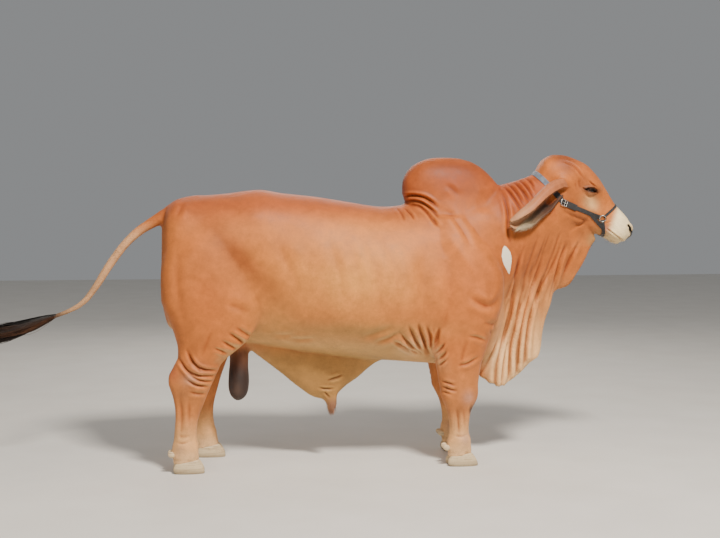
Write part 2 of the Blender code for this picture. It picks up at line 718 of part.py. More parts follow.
def leg_sections(sections, side):
    """The leg's sections on the bull's left (+1) or right (-1)."""
    return [(a, b, c, d, side * y, *rest) for a, b, c, d, y, *rest in sections]


def flesh_masses():
    """Every mass that is fused into the skin, as two lists: the body's, and those round the head."""
    body = [
        loft("trunk_mass", TRUNK),
        loft("hump_mass", HUMP, spacing=0.012),
        loft("sheath_mass", SHEATH),
        loft("sheath_tip_mass", SHEATH_TIP, spacing=0.02, count=20),
        loft("scrotum_mass", SCROTUM, spacing=0.02, count=24),
        loft("tail_mass", line_sections(TAIL_LINE), spacing=0.02, count=20),
    ]
    for side, word in ((-1, "right"), (1, "left")):
        fore_step = LEFT_FORE_STEP if side > 0 else 0
        hind_step = LEFT_HIND_STEP if side > 0 else 0
        fore = leg_sections(FORELEG, side)
        hind = leg_sections(HINDLEG, side)
        body.append(loft(f"foreleg_{word}_mass", fore, shift=stepping(fore_step)))
        body.append(loft(f"hindleg_{word}_mass", hind, shift=stepping(hind_step)))
        for name, ((x, out, z), radii, turn) in BODY_MASSES.items():
            body.append(ball(f"{name}_{word}", (x, side * out, z), radii, turn))
    front = [loft("neck_mass", NECK), dewlap(), head_loft("skull_mass", SKULL)]
    front.append(face_mass("chin_mass", CHIN_MASS))
    for side, word in ((-1, "right"), (1, "left")):
        front += [face_mass(f"{name}_{word}", mass, side) for name, mass in HEAD_MASSES.items()]
    return body, front


def ear(side, word, neighbours):
    """A long drooping ear: a leaf folded over at the top and cupped below, open outwards."""
    steps, lanes = EAR_STEPS, EAR_LANES
    fold = np.array(EAR_FOLD) * (1, side, 1)
    run = np.concatenate([[0], np.cumsum(np.linalg.norm(np.diff(fold, axis=0), axis=1))])
    shares = np.linspace(0, 1, steps + 1)
    path = gentle_curve(run / run[-1], fold, shares)
    size = np.array(EAR_SIZE)
    sizes = gentle_curve(size[:, 0], size[:, 1:], shares)[:, 0]
    knots = np.linspace(0, 1, len(EAR_SECTION))
    across = np.linspace(0, 1, lanes + 1)
    near_root = gentle_curve(knots, EAR_ROOT_SECTION, across)
    middle = gentle_curve(knots, EAR_SECTION, across)
    shape = bmesh.new()
    rows = []
    for share, place, scale in zip(shares, path, sizes):
        section = near_root + (middle - near_root) * min(1, share / EAR_ROOT_SHARE)
        row = []
        for out, up in section * scale:
            row.append(shape.verts.new((place[0], place[1] + side * out, place[2] + up)))
        rows.append(row)
    for a, b in zip(rows, rows[1:]):
        for j in range(lanes):
            shape.faces.new((a[j], b[j], b[j + 1], a[j + 1]))
    skin = helper(f"ear_{word}_leaf", shape)
    thick = skin.modifiers.new("wall", "SOLIDIFY")
    thick.thickness = EAR_WALL
    thick.offset = 0
    node = node_from(f"ear_{word}", evaluated_mesh(skin), hide)
    keep_largest(node)
    cut_clear(node, neighbours)
    return node


def coronet_z(x, middle_x):
    """The height of the plane where the hoof meets the hair, higher before than behind."""
    share = (x - middle_x + CLAW_HEEL) / (CLAW_TOE + CLAW_HEEL)
    return CORONET_HEEL_Z + (CORONET_FRONT_Z - CORONET_HEEL_Z) * share


def claw(name, middle_x, side_y):
    """One half of a cloven hoof: a flat sole, a sloping wall and a top that slopes back to the heel."""
    toe, heel, half = middle_x + CLAW_TOE, middle_x - CLAW_HEEL, CLAW_HALF_WIDTH
    toe_top, heel_top = toe - CLAW_TOE_LEAN, heel + CLAW_HEEL_LEAN
    toe_z = coronet_z(toe_top, middle_x) - GAP
    heel_z = coronet_z(heel_top, middle_x) - GAP
    outline = (0.48, 2.3, 2.5)
    sections = [
        (toe, 0.0, heel, 0.0, side_y, half, *outline),
        (toe - 0.005, SOLE_EDGE_Z, heel - 0.001, SOLE_EDGE_Z, side_y, half, *outline),
        (toe_top, toe_z, heel_top, heel_z, side_y, half * CLAW_TOP_SHARE, *outline),
    ]
    rings = [ring_points(section, 14) for section in sections]
    node = node_from(name, skin_rings(rings), horn)
    keep_largest(node)
    return node


def dewclaw(name, place, leg):
    """A small blunt claw at the back of the fetlock."""
    shape = bmesh.new()
    bmesh.ops.create_uvsphere(shape, u_segments=7, v_segments=4, radius=1)
    turn = Matrix.Rotation(math.radians(DEWCLAW_TURN), 4, "Y")
    matrix = Matrix.Translation(place) @ turn @ Matrix.Diagonal((*DEWCLAW_RADII, 1))
    bmesh.ops.transform(shape, matrix=matrix, verts=shape.verts)
    node = node_from(name, shape, horn)
    boolean(node, "DIFFERENCE", grown(leg, name + "_leg", GAP))
    keep_largest(node)
    return node


def eye(side, word, head):
    """An eyeball in its socket, with an almond opening between the lids."""
    down, up, out = EYE_PLACE
    centre = face_point(down, up, side * out)
    look = Vector((EYE_LOOK.x, side * EYE_LOOK.y, EYE_LOOK.z)).normalized()
    slope = math.radians(LID_SLOPE)
    long_way = Vector((math.cos(slope), 0, -math.sin(slope)))
    long_way = (long_way - look * long_way.dot(look)).normalized()
    short_way = look.cross(long_way)
    half_long, half_short = LID_OPENING
    almond = bmesh.new()
    ends = []
    for depth in (0.006, 0.060):
        flare = 1 + 0.35 * (depth > 0.01)
        ring = []
        for i in range(12):
            turn = math.tau * i / 12
            u = math.cos(turn) * half_long * flare
            v = math.sin(turn) * abs(math.sin(turn)) ** 0.35 * half_short * flare
            ring.append(almond.verts.new(centre + look * depth + long_way * u + short_way * v))
        ends.append(ring)
    almond.faces.new(ends[0])
    almond.faces.new(ends[1][::-1])
    for i in range(12):
        j = (i + 1) % 12
        almond.faces.new((ends[0][i], ends[0][j], ends[1][j], ends[1][i]))
    boolean(head, "DIFFERENCE", helper(f"lid_opening_{word}", almond))
    shape = bmesh.new()
    bmesh.ops.create_uvsphere(shape, u_segments=12, v_segments=8, radius=EYE_RADIUS)
    bmesh.ops.translate(shape, vec=centre, verts=shape.verts)
    node = node_from(f"eye_{word}", shape, wet_black)
    socket = helper(f"socket_{word}", node.data.copy())
    for v in socket.data.vertices:
        v.co = centre + (v.co - centre) * ((EYE_RADIUS + 2 * GAP) / EYE_RADIUS)
    boolean(head, "DIFFERENCE", socket)
    keep_largest(head)
    return node


def carve_face(head):
    """Cuts the nostrils and the line of the mouth into the head."""
    for side, word in ((-1, "right"), (1, "left")):
        for name, ((down, up, out), radii, turn) in (("nostril", NOSTRIL), ("nostril_tail", NOSTRIL_TAIL)):
            place = face_point(down, up, side * out)
            boolean(head, "DIFFERENCE", ball(f"{name}_{word}", place, radii, turn, segments=12, rings=8))
    surface = BVHTree.FromObject(head, bpy.context.evaluated_depsgraph_get())
    rings = []
    steps = 18
    for i in range(steps + 1):
        turn = math.pi * (i / steps - 0.5)
        share = math.cos(turn)
        down = MOUTH_CORNER[0] + (MOUTH_FRONT[0] - MOUTH_CORNER[0]) * share
        up = MOUTH_CORNER[1] + (MOUTH_FRONT[1] - MOUTH_CORNER[1]) * share**2
        out = MOUTH_HALF_WIDTH * math.sin(turn)
        inside = face_point(down - 0.10 * share, up, out * 0.25)
        aim = (face_point(down, up, out) - inside).normalized()
        spot = surface.ray_cast(inside + aim * 0.2, -aim)[0]
        fade = min(1.0, 0.25 + 2.2 * min(i, steps - i) / steps)
        rings.append(groove_ring(spot, aim, fade))
    cut = helper("mouth_groove", skin_rings(rings))
    boolean(head, "DIFFERENCE", cut)
    keep_largest(head)


def groove_ring(spot, aim, fade):
    """A flat diamond round a point of the mouth's line, its long way into the head."""
    deep = aim * (MOUTH_DEPTH * fade)
    high = FACE_UP * (MOUTH_HALF_HEIGHT * (0.5 + fade / 2))
    return [spot + deep, spot + high, spot - deep, spot - high]


def cut_clear(node, neighbours):
    """Cuts a node back from its neighbours by the gap, also where a neighbour's bends are sharp."""
    for other in neighbours:
        boolean(node, "DIFFERENCE", grown(other, f"{node.name}_clear_of_{other.name}", GAP))
        boolean(node, "DIFFERENCE", other)
    keep_largest(node)


def strap(name, start, end, sides, look, neighbours):
    """A band lying on the head where a slab between two points of the side view crosses it."""
    a, b = Vector((start[0], 0, start[1])), Vector((end[0], 0, end[1]))
    along = (b - a).normalized()
    square = Vector((-along.z, 0, along.x)) * (STRAP_WIDTH / 2)
    outline = [(p.x, p.z) for p in (a - square, b - square, b + square, a + square)]
    slab = prism(name + "_slab", outline, sides[0], sides[1], "Y")
    node = node_from(name, grown(front_whole, name + "_outer", STRAP_THICKNESS).data, look)
    boolean(node, "INTERSECT", slab)
    cut_clear(node, neighbours)
    return node


def towards(start, end, by):
    """The point that far from start on the way to end, in the side view."""
    a, b = Vector(start), Vector(end)
    return tuple(a + (b - a).normalized() * by)


def fitting(name, place, side, shape, look, neighbours):
    """A small metal piece laid flat on the side of the head, its own Z standing out from it."""
    front = BVHTree.FromObject(front_whole, bpy.context.evaluated_depsgraph_get())
    start = Vector((place[0], side * 0.5, place[1]))
    spot, normal, *_ = front.ray_cast(start, Vector((0, -side, 0)))
    turn = normal.to_track_quat("Z", "X").to_matrix().to_4x4()
    matrix = Matrix.Translation(spot + normal * FITTING_LIFT) @ turn
    bmesh.ops.transform(shape, matrix=matrix, verts=shape.verts)
    node = node_from(name, shape, look)
    cut_clear(node, neighbours)
    return node


def ring_shape():
    """A small round ring, from a circle of points turned about Z."""
    shape = bmesh.new()
    bmesh.ops.create_circle(shape, segments=5, radius=RING_WIRE)
    bmesh.ops.rotate(shape, matrix=Matrix.Rotation(math.pi / 2, 3, "X"), verts=shape.verts)
    bmesh.ops.translate(shape, vec=(RING_RADIUS, 0, 0), verts=shape.verts)
    bmesh.ops.spin(
        shape, geom=shape.edges[:], cent=(0, 0, 0), axis=(0, 0, 1), angle=math.tau, steps=12, use_merge=True
    )
    return shape


def buckle_shape():
    """A small rounded plate."""
    shape = bmesh.new()
    bmesh.ops.create_cube(shape, size=1)
    bmesh.ops.scale(shape, vec=BUCKLE_SIZE, verts=shape.verts)
    bmesh.ops.bevel(shape, geom=shape.edges[:], offset=BUCKLE_EDGE, segments=1, affect="EDGES")
    return shape


def lock(root, tip, width, sag, turn):
    """A flat tapered lock of hair that bends down to its tip, as a closed bmesh."""
    rings = []
    along = (tip - root).normalized()
    flat = Vector((0, math.cos(turn), math.sin(turn)))
    flat = (flat - along * flat.dot(along)).normalized()
    thin = along.cross(flat)
    for i in range(LOCK_STEPS + 1):
        share = i / LOCK_STEPS
        swell = math.sin(math.pi * (0.25 + 0.75 * share) ** 1.2) ** 0.8 if share < 1 else 0
        half = max(0.0012, width / 2 * swell)
        deep = max(0.0010, LOCK_THICKNESS / 2 * swell)
        middle = root.lerp(tip, share) + Vector((0, 0, -sag * math.sin(math.pi * share)))
        middle += flat * (LOCK_BEND * share * math.sin(math.tau * 0.8 * share + turn * 3))
        ring = [middle + flat * half, middle + thin * deep, middle - flat * half, middle - thin * deep]
        rings.append(ring)
    return skin_rings(rings)


def switch_node(dock):
    """The switch: locks rooted in the dock and fused with it, the longest from its end."""
    draw = random.Random(7)
    locks = new_collection("switch_locks")
    table = np.array(TAIL_LINE)[::-1]
    end = Vector((SWITCH_END[0], 0, SWITCH_END[1]))
    for i in range(SWITCH_LOCKS):
        share = (i + 0.5) / SWITCH_LOCKS
        x = SWITCH_X - SWITCH_ROOTS[0] - (SWITCH_ROOTS[1] - SWITCH_ROOTS[0]) * share**0.9
        z = float(np.interp(x, table[:, 0], table[:, 1]))
        half = float(np.interp(x, table[:, 0], table[:, 2]))
        turn = i * SWITCH_TURN
        out = Vector((0, math.cos(turn), math.sin(turn)))
        root = Vector((x, 0, z)) + out * half * 0.35
        reach = 0.50 + 0.50 * share + draw.uniform(-0.08, 0.0)
        spread = out * SWITCH_SPREAD * (math.sin(math.pi * min(1, reach * 0.8)) + 0.12)
        tip = root.lerp(end, reach) + spread * draw.uniform(0.5, 1.0)
        tip.x = max(tip.x, SWITCH_END[0])
        sag = draw.uniform(0.0, LOCK_BEND)
        made = lock(root, tip, draw.uniform(*LOCK_WIDTHS), sag, turn + math.pi / 2)
        object_from(f"lock_{i}", made, locks)
    join = dock.modifiers.new("locks", "BOOLEAN")
    join.operation = "UNION"
    join.operand_type = "COLLECTION"
    join.collection = locks
    join.solver = "MANIFOLD"
    dock.data = evaluated_mesh(dock)
    dock.modifiers.clear()
    for piece in list(locks.objects):
        bpy.data.objects.remove(piece)
    bpy.data.collections.remove(locks)
    keep_largest(dock)


def halter(skin):
    """A webbing halter: over the nape, along each cheek, over the nose and under the chin."""
    metal_pieces = []
    for side, word in ((-1, "right"), (1, "left")):
        ring = fitting(f"halter_ring_{word}", NOSE_RING, side, ring_shape(), steel, skin)
        buckle = fitting(f"halter_buckle_{word}", CHEEK_KNOT, side, buckle_shape(), steel, skin)
        metal_pieces += [ring, buckle]
    neighbours = skin + metal_pieces
    crown_end = towards(CHEEK_KNOT, NAPE_TOP, CROWN_BUCKLE_GAP)
    strap("halter_crown_strap", NAPE_TOP, crown_end, (-0.4, 0.4), strap_grey, neighbours)
    nose_end = towards(NOSE_RING, NOSE_TOP, RING_RADIUS)
    strap("halter_noseband", NOSE_TOP, nose_end, (-0.2, 0.2), strap_black, neighbours)
    chin_start = towards(NOSE_RING, CHIN, RING_RADIUS)
    strap("halter_chin_strap", chin_start, CHIN, (-0.2, 0.2), strap_black, neighbours)
    cheek_start = towards(CHEEK_KNOT, NOSE_RING, CHEEK_BUCKLE_GAP)
    cheek_end = towards(NOSE_RING, CHEEK_KNOT, RING_RADIUS)
    for side, word in ((-1, "right"), (1, "left")):
        sides = sorted((side * 0.02, side * 0.3))
        strap(f"halter_cheek_strap_{word}", cheek_start, cheek_end, sides, strap_black, neighbours)


clear_scene()
bull = new_collection("brahman_bull")
helpers = new_collection("helpers")

hide = finish("red_hide", (0.46, 0.17, 0.06), 0.55)
horn = finish("hoof_horn", (0.30, 0.22, 0.17), 0.45)
wet_black = finish("eye", (0.01, 0.008, 0.007), 0.08)
strap_black = finish("halter_webbing", (0.02, 0.02, 0.022), 0.6)
steel = finish("dull_steel", (0.35, 0.35, 0.34), 0.35, 1.0)
strap_grey = finish("crown_webbing", (0.16, 0.20, 0.26), 0.7)
dark_hair = finish("switch_hair", (0.02, 0.017, 0.016), 0.6)
dark_skin = finish("scrotum_skin", (0.06, 0.045, 0.045), 0.5)

body_masses, front_masses = flesh_masses()
body = thinned(fused("whole_body", body_masses + front_masses, BODY_VOXEL, 14), BODY_TRIANGLES)
head_region = [
    (1.930, 1.800),
    (1.952, 1.580),
    (2.075, 1.275),
    (2.150, 1.205),
    (2.235, 1.200),
    (2.285, 1.165),
    (2.620, 1.000),
    (2.620, 1.800),
]
# A little more than the head, so that the halter's crown has the nape to lie on.
front_region = [(1.80, 1.80), (1.80, 1.30), (2.05, 1.17), (2.62, 0.99), (2.62, 1.80)]
front = fused("whole_front", front_masses, HEAD_VOXEL, 8)
boolean(front, "INTERSECT", prism("front_block", inset(front_region, -0.01), -0.5, 0.5, "Y"))
thinned(front, HEAD_TRIANGLES)
front_whole = thinned(copy_of(front, "front_whole"), STRAP_SKIN_TRIANGLES)
head = take("head", front, head_region, -0.5, 0.5, "Y", hide)
spare = take("head_of_body", body, head_region, -0.5, 0.5, "Y", hide)
bpy.data.objects.remove(spare)
carve_face(head)

tail_region = [
    (-0.105, 1.500),
    (-0.115, 1.304),
    (-0.152, 1.286),
    (-0.190, 1.240),
    (-0.350, 0.950),
    (-0.500, 0.600),
    (-1.500, 0.400),
    (-1.500, 1.500),
]
tail = take("tail_root", body, tail_region, -0.2, 0.2, "Y", hide)
tail_end_region = [(-0.50, 1.2), (-0.50, 0.5), (-1.50, 0.4), (-1.50, 1.2)]
tail_end = take("tail_end", tail, tail_end_region, -0.2, 0.2, "Y", hide)
switch_region = [(SWITCH_X, 1.2), (SWITCH_X, 0.3), (-1.6, 0.3), (-1.6, 1.2)]
tail_of_dock = take("tail_switch", tail_end, switch_region, -0.2, 0.2, "Y", dark_hair)
switch_node(tail_of_dock)

dewlap_region = [
    (2.500, 1.300),
    (2.100, 1.220),
    (1.900, 0.980),
    (1.740, 0.790),
    (1.650, 0.640),
    (1.612, 0.520),
    (1.575, 0.440),
    (1.560, 0.300),
    (2.500, 0.300),
]
take("dewlap", body, dewlap_region, -0.30, 0.30, "Y", hide)
neck_region = [(1.702, 1.800), (1.700, 1.470), (1.715, 1.100), (1.700, 0.650), (2.5, 0.65), (2.5, 1.8)]
take("neck", body, neck_region, -0.5, 0.5, "Y", hide)
hump_region = [(1.080, 1.800), (1.080, 1.440), (1.178, 1.427), (1.7018, 1.503), (1.7018, 1.800)]
take("hump", body, hump_region, -0.4, 0.4, "Y", hide)
sheath_region = [(0.338, 0.620), (0.375, 0.640), (0.70, 0.595), (1.06, 0.548), (1.06, 0.2), (0.338, 0.2)]
take("sheath", body, sheath_region, -0.082, 0.082, "Y", hide)
scrotum_region = [(0.190, 0.630), (0.190, 0.300), (0.337, 0.300), (0.337, 0.630)]
take("scrotum", body, scrotum_region, -0.083, 0.083, "Y", dark_skin)

for side, word in ((-1, "right"), (1, "left")):
    fore_outline = [(side * 0.072, -0.1), (side * 0.072, 0.50), (side * 0.55, 0.83), (side * 0.55, -0.1)]
    fore = take(f"foreleg_{word}_upper", body, fore_outline, 1.20, 1.66, "X", hide)
    hind_outline = [(side * 0.085, -0.1), (side * 0.085, 0.665), (side * 0.55, 0.80), (side * 0.55, -0.1)]
    hind = take(f"hindleg_{word}_upper", body, hind_outline, -0.25, 0.40, "X", hide)
    feet = (
        ("foreleg", fore, KNEE_CUT_Z, LEFT_FORE_STEP, FORE_FOOT_X),
        ("hindleg", hind, HOCK_CUT_Z, LEFT_HIND_STEP, HIND_FOOT_X),
    )
    for leg, upper, cut_z, left_step, middle in feet:
        below = [(-0.6, cut_z), (-0.6, -0.2), (0.6, -0.2), (0.6, cut_z)]
        lower = take(f"{leg}_{word}_lower", upper, below, -0.6, 1.9, "X", hide)
        middle_x = middle + (left_step if side > 0 else 0)
        front_x, back_x = middle_x + 0.3, middle_x - 0.3
        foot = [
            (front_x, coronet_z(front_x, middle_x)),
            (back_x, coronet_z(back_x, middle_x)),
            (back_x, -0.3),
            (front_x, -0.3),
        ]
        spare = take("foot_waste", lower, foot, -0.6, 0.6, "Y", hide)
        bpy.data.objects.remove(spare)
        for claw_side, claw_word in ((-1, "inner"), (1, "outer")):
            apart = CLAW_HALF_WIDTH + CLEFT / 2
            claw(f"claw_{leg}_{word}_{claw_word}", middle_x, side * (LEG_SPREAD + claw_side * apart))
            dewclaw_y = side * (LEG_SPREAD + claw_side * DEWCLAW_OUT)
            place = Vector((middle_x - DEWCLAW_BACK, dewclaw_y, DEWCLAW_Z))
            dewclaw(f"dewclaw_{leg}_{word}_{claw_word}", place, lower)
body.name = "torso"
helpers.objects.unlink(body)
bull.objects.link(body)
body.hide_render = False
body.data.materials.clear()
body.data.materials.append(hide)

neck = bull.objects["neck"]
for side, word in ((-1, "right"), (1, "left")):
    eye(side, word, head)
halter([head, neck])
crown = bull.objects["halter_crown_strap"]
for side, word in ((-1, "right"), (1, "left")):
    ear(side, word, [head, neck, crown])

for item in bull.objects:
    item.location.x -= MIDDLE_X
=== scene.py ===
# %% [markdown]
# # A red Brahman bull, life size
# The bull stands in profile with its hump, its hanging dewlap and its long drooping ears. A solid frame
# gives the true size and outline of every named part. This notebook lays the living surface over that
# frame: one skin with its folds and muscles, the short coat and its colours, eyes, hooves, a webbing
# halter, and hair wherever hair breaks the outline.

# %% Load the frame
import math
import random

import bmesh
import bpy
import numpy as np
from mathutils import Matrix, Vector
from mathutils.bvhtree import BVHTree


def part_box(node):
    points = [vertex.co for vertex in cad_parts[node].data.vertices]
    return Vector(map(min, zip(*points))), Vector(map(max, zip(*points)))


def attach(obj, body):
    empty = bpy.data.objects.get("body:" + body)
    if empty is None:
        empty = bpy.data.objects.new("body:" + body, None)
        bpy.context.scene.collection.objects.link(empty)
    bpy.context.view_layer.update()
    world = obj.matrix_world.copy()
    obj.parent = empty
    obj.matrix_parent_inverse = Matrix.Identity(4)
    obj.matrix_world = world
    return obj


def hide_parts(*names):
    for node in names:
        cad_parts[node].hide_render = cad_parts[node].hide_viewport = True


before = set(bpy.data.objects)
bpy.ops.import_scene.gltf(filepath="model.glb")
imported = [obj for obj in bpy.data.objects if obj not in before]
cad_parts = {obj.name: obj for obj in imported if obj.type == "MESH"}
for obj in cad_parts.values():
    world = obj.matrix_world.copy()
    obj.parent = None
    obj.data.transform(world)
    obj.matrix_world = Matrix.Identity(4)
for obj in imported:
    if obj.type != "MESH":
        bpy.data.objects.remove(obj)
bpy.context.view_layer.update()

# %% [markdown]
# Every size here is in metres. Places along the bull are measured from its near hind hoof, as one would
# with a tape on the ground, and `HOOF_X` brings them into the frame. The head has its own frame, which
# tips down from the nape to the muzzle: down the face, up from its middle line, and out to a side.

# %% Places
HOOF_X = -0.556
SIDES = {"right": -1, "left": 1}
NAPE = np.array([1.96 + HOOF_X, 0.0, 1.53])
FACE_DROP = math.radians(42)
FACE_AXIS = np.array([math.cos(FACE_DROP), 0.0, -math.sin(FACE_DROP)])
FACE_UP = np.array([math.sin(FACE_DROP), 0.0, math.cos(FACE_DROP)])


def face_point(down, up, out=0.0):
    """A point of the head's frame in the bull's."""
    return NAPE + FACE_AXIS * down + FACE_UP * up + np.array([0.0, out, 0.0])


def face_places(points):
    """Points of the bull's frame in the head's: down the face, up, and out."""
    from_nape = points - NAPE
    return from_nape @ FACE_AXIS, from_nape @ FACE_UP, points[:, 1]


def side_line(points):
    """Points (x, z) of the side view, with x from the near hind hoof, in the frame's x and z."""
    return np.array([(x + HOOF_X, z) for x, z in points])


def ramp(values, low, high):
    """0 below low, 1 above high, and a smooth step between them. Low may be the larger."""
    t = np.clip((values - low) / (high - low), 0, 1)
    return t * t * (3 - 2 * t)


def bell(values):
    """1 where the values are 0, falling off as a bell does on both sides."""
    return np.exp(-(values**2))


print("the nape is", NAPE.round(3))

# %% [markdown]
# Colours are written as the hex values that a painter would mix, and one function turns them into the
# linear light that the renderer adds up.

# %% Colours
def linear(code):
    """A linear RGB triple from an sRGB hex value."""
    parts = [int(code[i : i + 2], 16) / 255 for i in (1, 3, 5)]
    return tuple(c / 12.92 if c <= 0.04045 else ((c + 0.055) / 1.055) ** 2.4 for c in parts)


print("a mid coat red in linear light", [round(c, 3) for c in linear("#B0683C")])

# %% [markdown]
# A material is a net of nodes. Each helper adds one node and wires it up, so that the materials further
# down read as lists of what they mix.

# %% Material helpers
def give(tree, node, inputs):
    """Sets a node's inputs, each to a value or by a link from another node's socket."""
    for name, value in inputs.items():
        if isinstance(value, bpy.types.NodeSocket):
            tree.links.new(value, node.inputs[name])
        else:
            node.inputs[name].default_value = value


def add(tree, kind, settings=None, inputs=None):
    """Adds a node. Settings are its own properties; each input is a value or another node's socket."""
    node = tree.nodes.new(kind)
    for name, value in (settings or {}).items():
        setattr(node, name, value)
    give(tree, node, inputs or {})
    return node


def material(name):
    """A new material: itself, its tree, its Principled shader and the object's own coordinates."""
    made = bpy.data.materials.new(name)
    made.use_nodes = True
    tree = made.node_tree
    return made, tree, tree.nodes["Principled BSDF"], add(tree, "ShaderNodeTexCoord").outputs["Object"]


def noise(tree, place, scale, detail=2.0, roughness=0.5):
    """Soft noise, most of it between 0.3 and 0.7. A scale of three numbers stretches it."""
    if isinstance(scale, tuple):
        place = add(tree, "ShaderNodeMapping", inputs={"Vector": place, "Scale": scale}).outputs["Vector"]
        scale = 1.0
    inputs = {"Vector": place, "Scale": scale, "Detail": detail, "Roughness": roughness}
    return add(tree, "ShaderNodeTexNoise", inputs=inputs).outputs["Fac"]


def sums(tree, operation, *values):
    """The result of one step of arithmetic."""
    return add(tree, "ShaderNodeMath", {"operation": operation}, dict(enumerate(values))).outputs[0]


def fitted(tree, value, low, high, to_low=0.0, to_high=1.0):
    """A value, with its range from low to high laid onto another range."""
    inputs = {"Value": value, "From Min": low, "From Max": high, "To Min": to_low, "To Max": to_high}
    return add(tree, "ShaderNodeMapRange", inputs=inputs).outputs["Result"]


def scaled(tree, colour, share):
    """A colour made darker or lighter by a share."""
    node = add(tree, "ShaderNodeVectorMath", {"operation": "SCALE"}, {0: colour, "Scale": share})
    return node.outputs["Vector"]


def two_tone(tree, share, low, high, start=0.0, end=1.0):
    """The low colour where the share is at start, and the high one where it is at end."""
    node = add(tree, "ShaderNodeValToRGB", inputs={"Fac": share})
    for element, at, code in zip(node.color_ramp.elements, (start, end), (low, high)):
        element.position, element.color = at, (*linear(code), 1)
    return node.outputs["Color"]


def mixed(tree, share, first, second):
    """The first colour where the share is 0 and the second where it is 1, each a code or a socket."""
    low, high = [(*linear(c), 1) if isinstance(c, str) else c for c in (first, second)]
    return add(tree, "ShaderNodeMix", {"data_type": "RGBA"}, {0: share, 6: low, 7: high}).outputs[2]


def bumped(tree, shader, height, strength, distance):
    """Raises a shader's surface by a height."""
    bump = add(tree, "ShaderNodeBump", inputs={"Height": height, "Strength": strength, "Distance": distance})
    give(tree, shader, {"Normal": bump.outputs["Normal"]})


print("helpers for nodes, noise, ramps and bumps")

# %% [markdown]
# ## The view
# The bull was seen from seven metres off and from a standing person's eye height, a little behind the
# middle of its body. A camera there, turned and tipped by the same few degrees, gives the same outline.

# %% Camera
EYE_HEIGHT = 1.51
CAMERA_BACK = 7.009
CAMERA_X = 0.0074 + HOOF_X
CAMERA_TURN = math.radians(7.5)
HORIZON_RISE = 84 / 1296
CAMERA_TIP = math.atan(HORIZON_RISE)
camera_data = bpy.data.cameras.new("photo_camera")
camera_data.sensor_width = 36
camera_data.lens = 64.8
camera = bpy.data.objects.new("photo_camera", camera_data)
bpy.context.scene.collection.objects.link(camera)
camera.location = (CAMERA_X, -CAMERA_BACK, EYE_HEIGHT)
camera.rotation_euler = (math.pi / 2 - CAMERA_TIP, 0, -CAMERA_TURN)
bpy.context.scene.camera = camera
print("camera at", [round(v, 3) for v in camera.location])

# %% [markdown]
# ## The skin
# On the real animal one hide runs over every part, so no joint may show. The parts of the frame are
# copied, swollen by less than half a millimetre so that they overlap, and fused. Subdivision rounds off
# the facets, and a voxel remesh gives even, small faces that can be modelled like clay.

# %% Copies of the frame's parts
SWELL = 0.0004
MERGE_GAP = 1e-5
HARD_PARTS = ("claw_", "dewclaw_", "eye_", "halter_")
flesh = [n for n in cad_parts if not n.startswith(HARD_PARTS) and n != "tail_switch"]
ears = [n for n in flesh if n.startswith("ear_")]
scratch = bpy.data.collections.new("scratch")
bpy.context.scene.collection.children.link(scratch)


def object_of(name, shape, collection=bpy.context.scene.collection):
    """An object from a bmesh, which is freed."""
    mesh = bpy.data.meshes.new(name)
    shape.to_mesh(mesh)
    shape.free()
    made = bpy.data.objects.new(name, mesh)
    collection.objects.link(made)
    return made


def applied(item):
    """Applies an object's modifiers to its mesh."""
    graph = bpy.context.evaluated_depsgraph_get()
    graph.update()
    item.data = bpy.data.meshes.new_from_object(item.evaluated_get(graph))
    item.modifiers.clear()
    return item


def finish_piece(piece, look, replaced=(), sharp=None):
    """Smooth faces, one material, and the piece's place in the frame."""
    piece.data.polygons.foreach_set("use_smooth", [True] * len(piece.data.polygons))
    if sharp:
        piece.data.set_sharp_from_angle(angle=math.radians(sharp))
    piece.data.materials.clear()
    piece.data.materials.append(look)
    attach(piece, "root")
    if replaced:
        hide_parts(*replaced)


def swollen_copy(node, swell):
    """A merged copy of a node of the frame, its surface moved out."""
    shape = bmesh.new()
    shape.from_mesh(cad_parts[node].data)
    bmesh.ops.remove_doubles(shape, verts=shape.verts, dist=MERGE_GAP)
    shape.normal_update()
    for v in shape.verts:
        v.co += v.normal * swell
    return shape


def ball(centre, radius):
    """A bmesh ball."""
    shape = bmesh.new()
    bmesh.ops.create_icosphere(shape, subdivisions=3, radius=radius)
    bmesh.ops.translate(shape, vec=centre, verts=shape.verts)
    return shape


print("to be fused:", len(flesh), "parts, of which", len(ears), "are ears")

# %% [markdown]
# Each eye socket is an open pit in the frame, where the lids could find nothing to lie on. A ball plugs
# it, and then one Boolean union fuses all the copies.

# %% Join the flesh
eye_centres = {word: (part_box(f"eye_{word}")[0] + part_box(f"eye_{word}")[1]) / 2 for word in SIDES}
EYE_RADIUS = (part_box("eye_left")[1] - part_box("eye_left")[0]).z / 2
SOCKET_PLUG = 0.033
skin = object_of("skin", swollen_copy("torso", SWELL))
for name in flesh:
    if name != "torso" and name not in ears:
        object_of(name + "_flesh", swollen_copy(name, SWELL), scratch)
for word, centre in eye_centres.items():
    object_of(f"socket_plug_{word}", ball(centre, SOCKET_PLUG), scratch)
join = skin.modifiers.new("join", "BOOLEAN")
join.operation = "UNION"
join.operand_type = "COLLECTION"
join.collection = scratch
join.solver = "MANIFOLD"
applied(skin)
print("joined flesh:", len(skin.data.polygons), "faces, eye radius", round(EYE_RADIUS, 4))

# %% [markdown]
# The ears are thin, and subdivision would shrink them, so they join after it. Each is swollen a little
# more, and so reaches into the head.

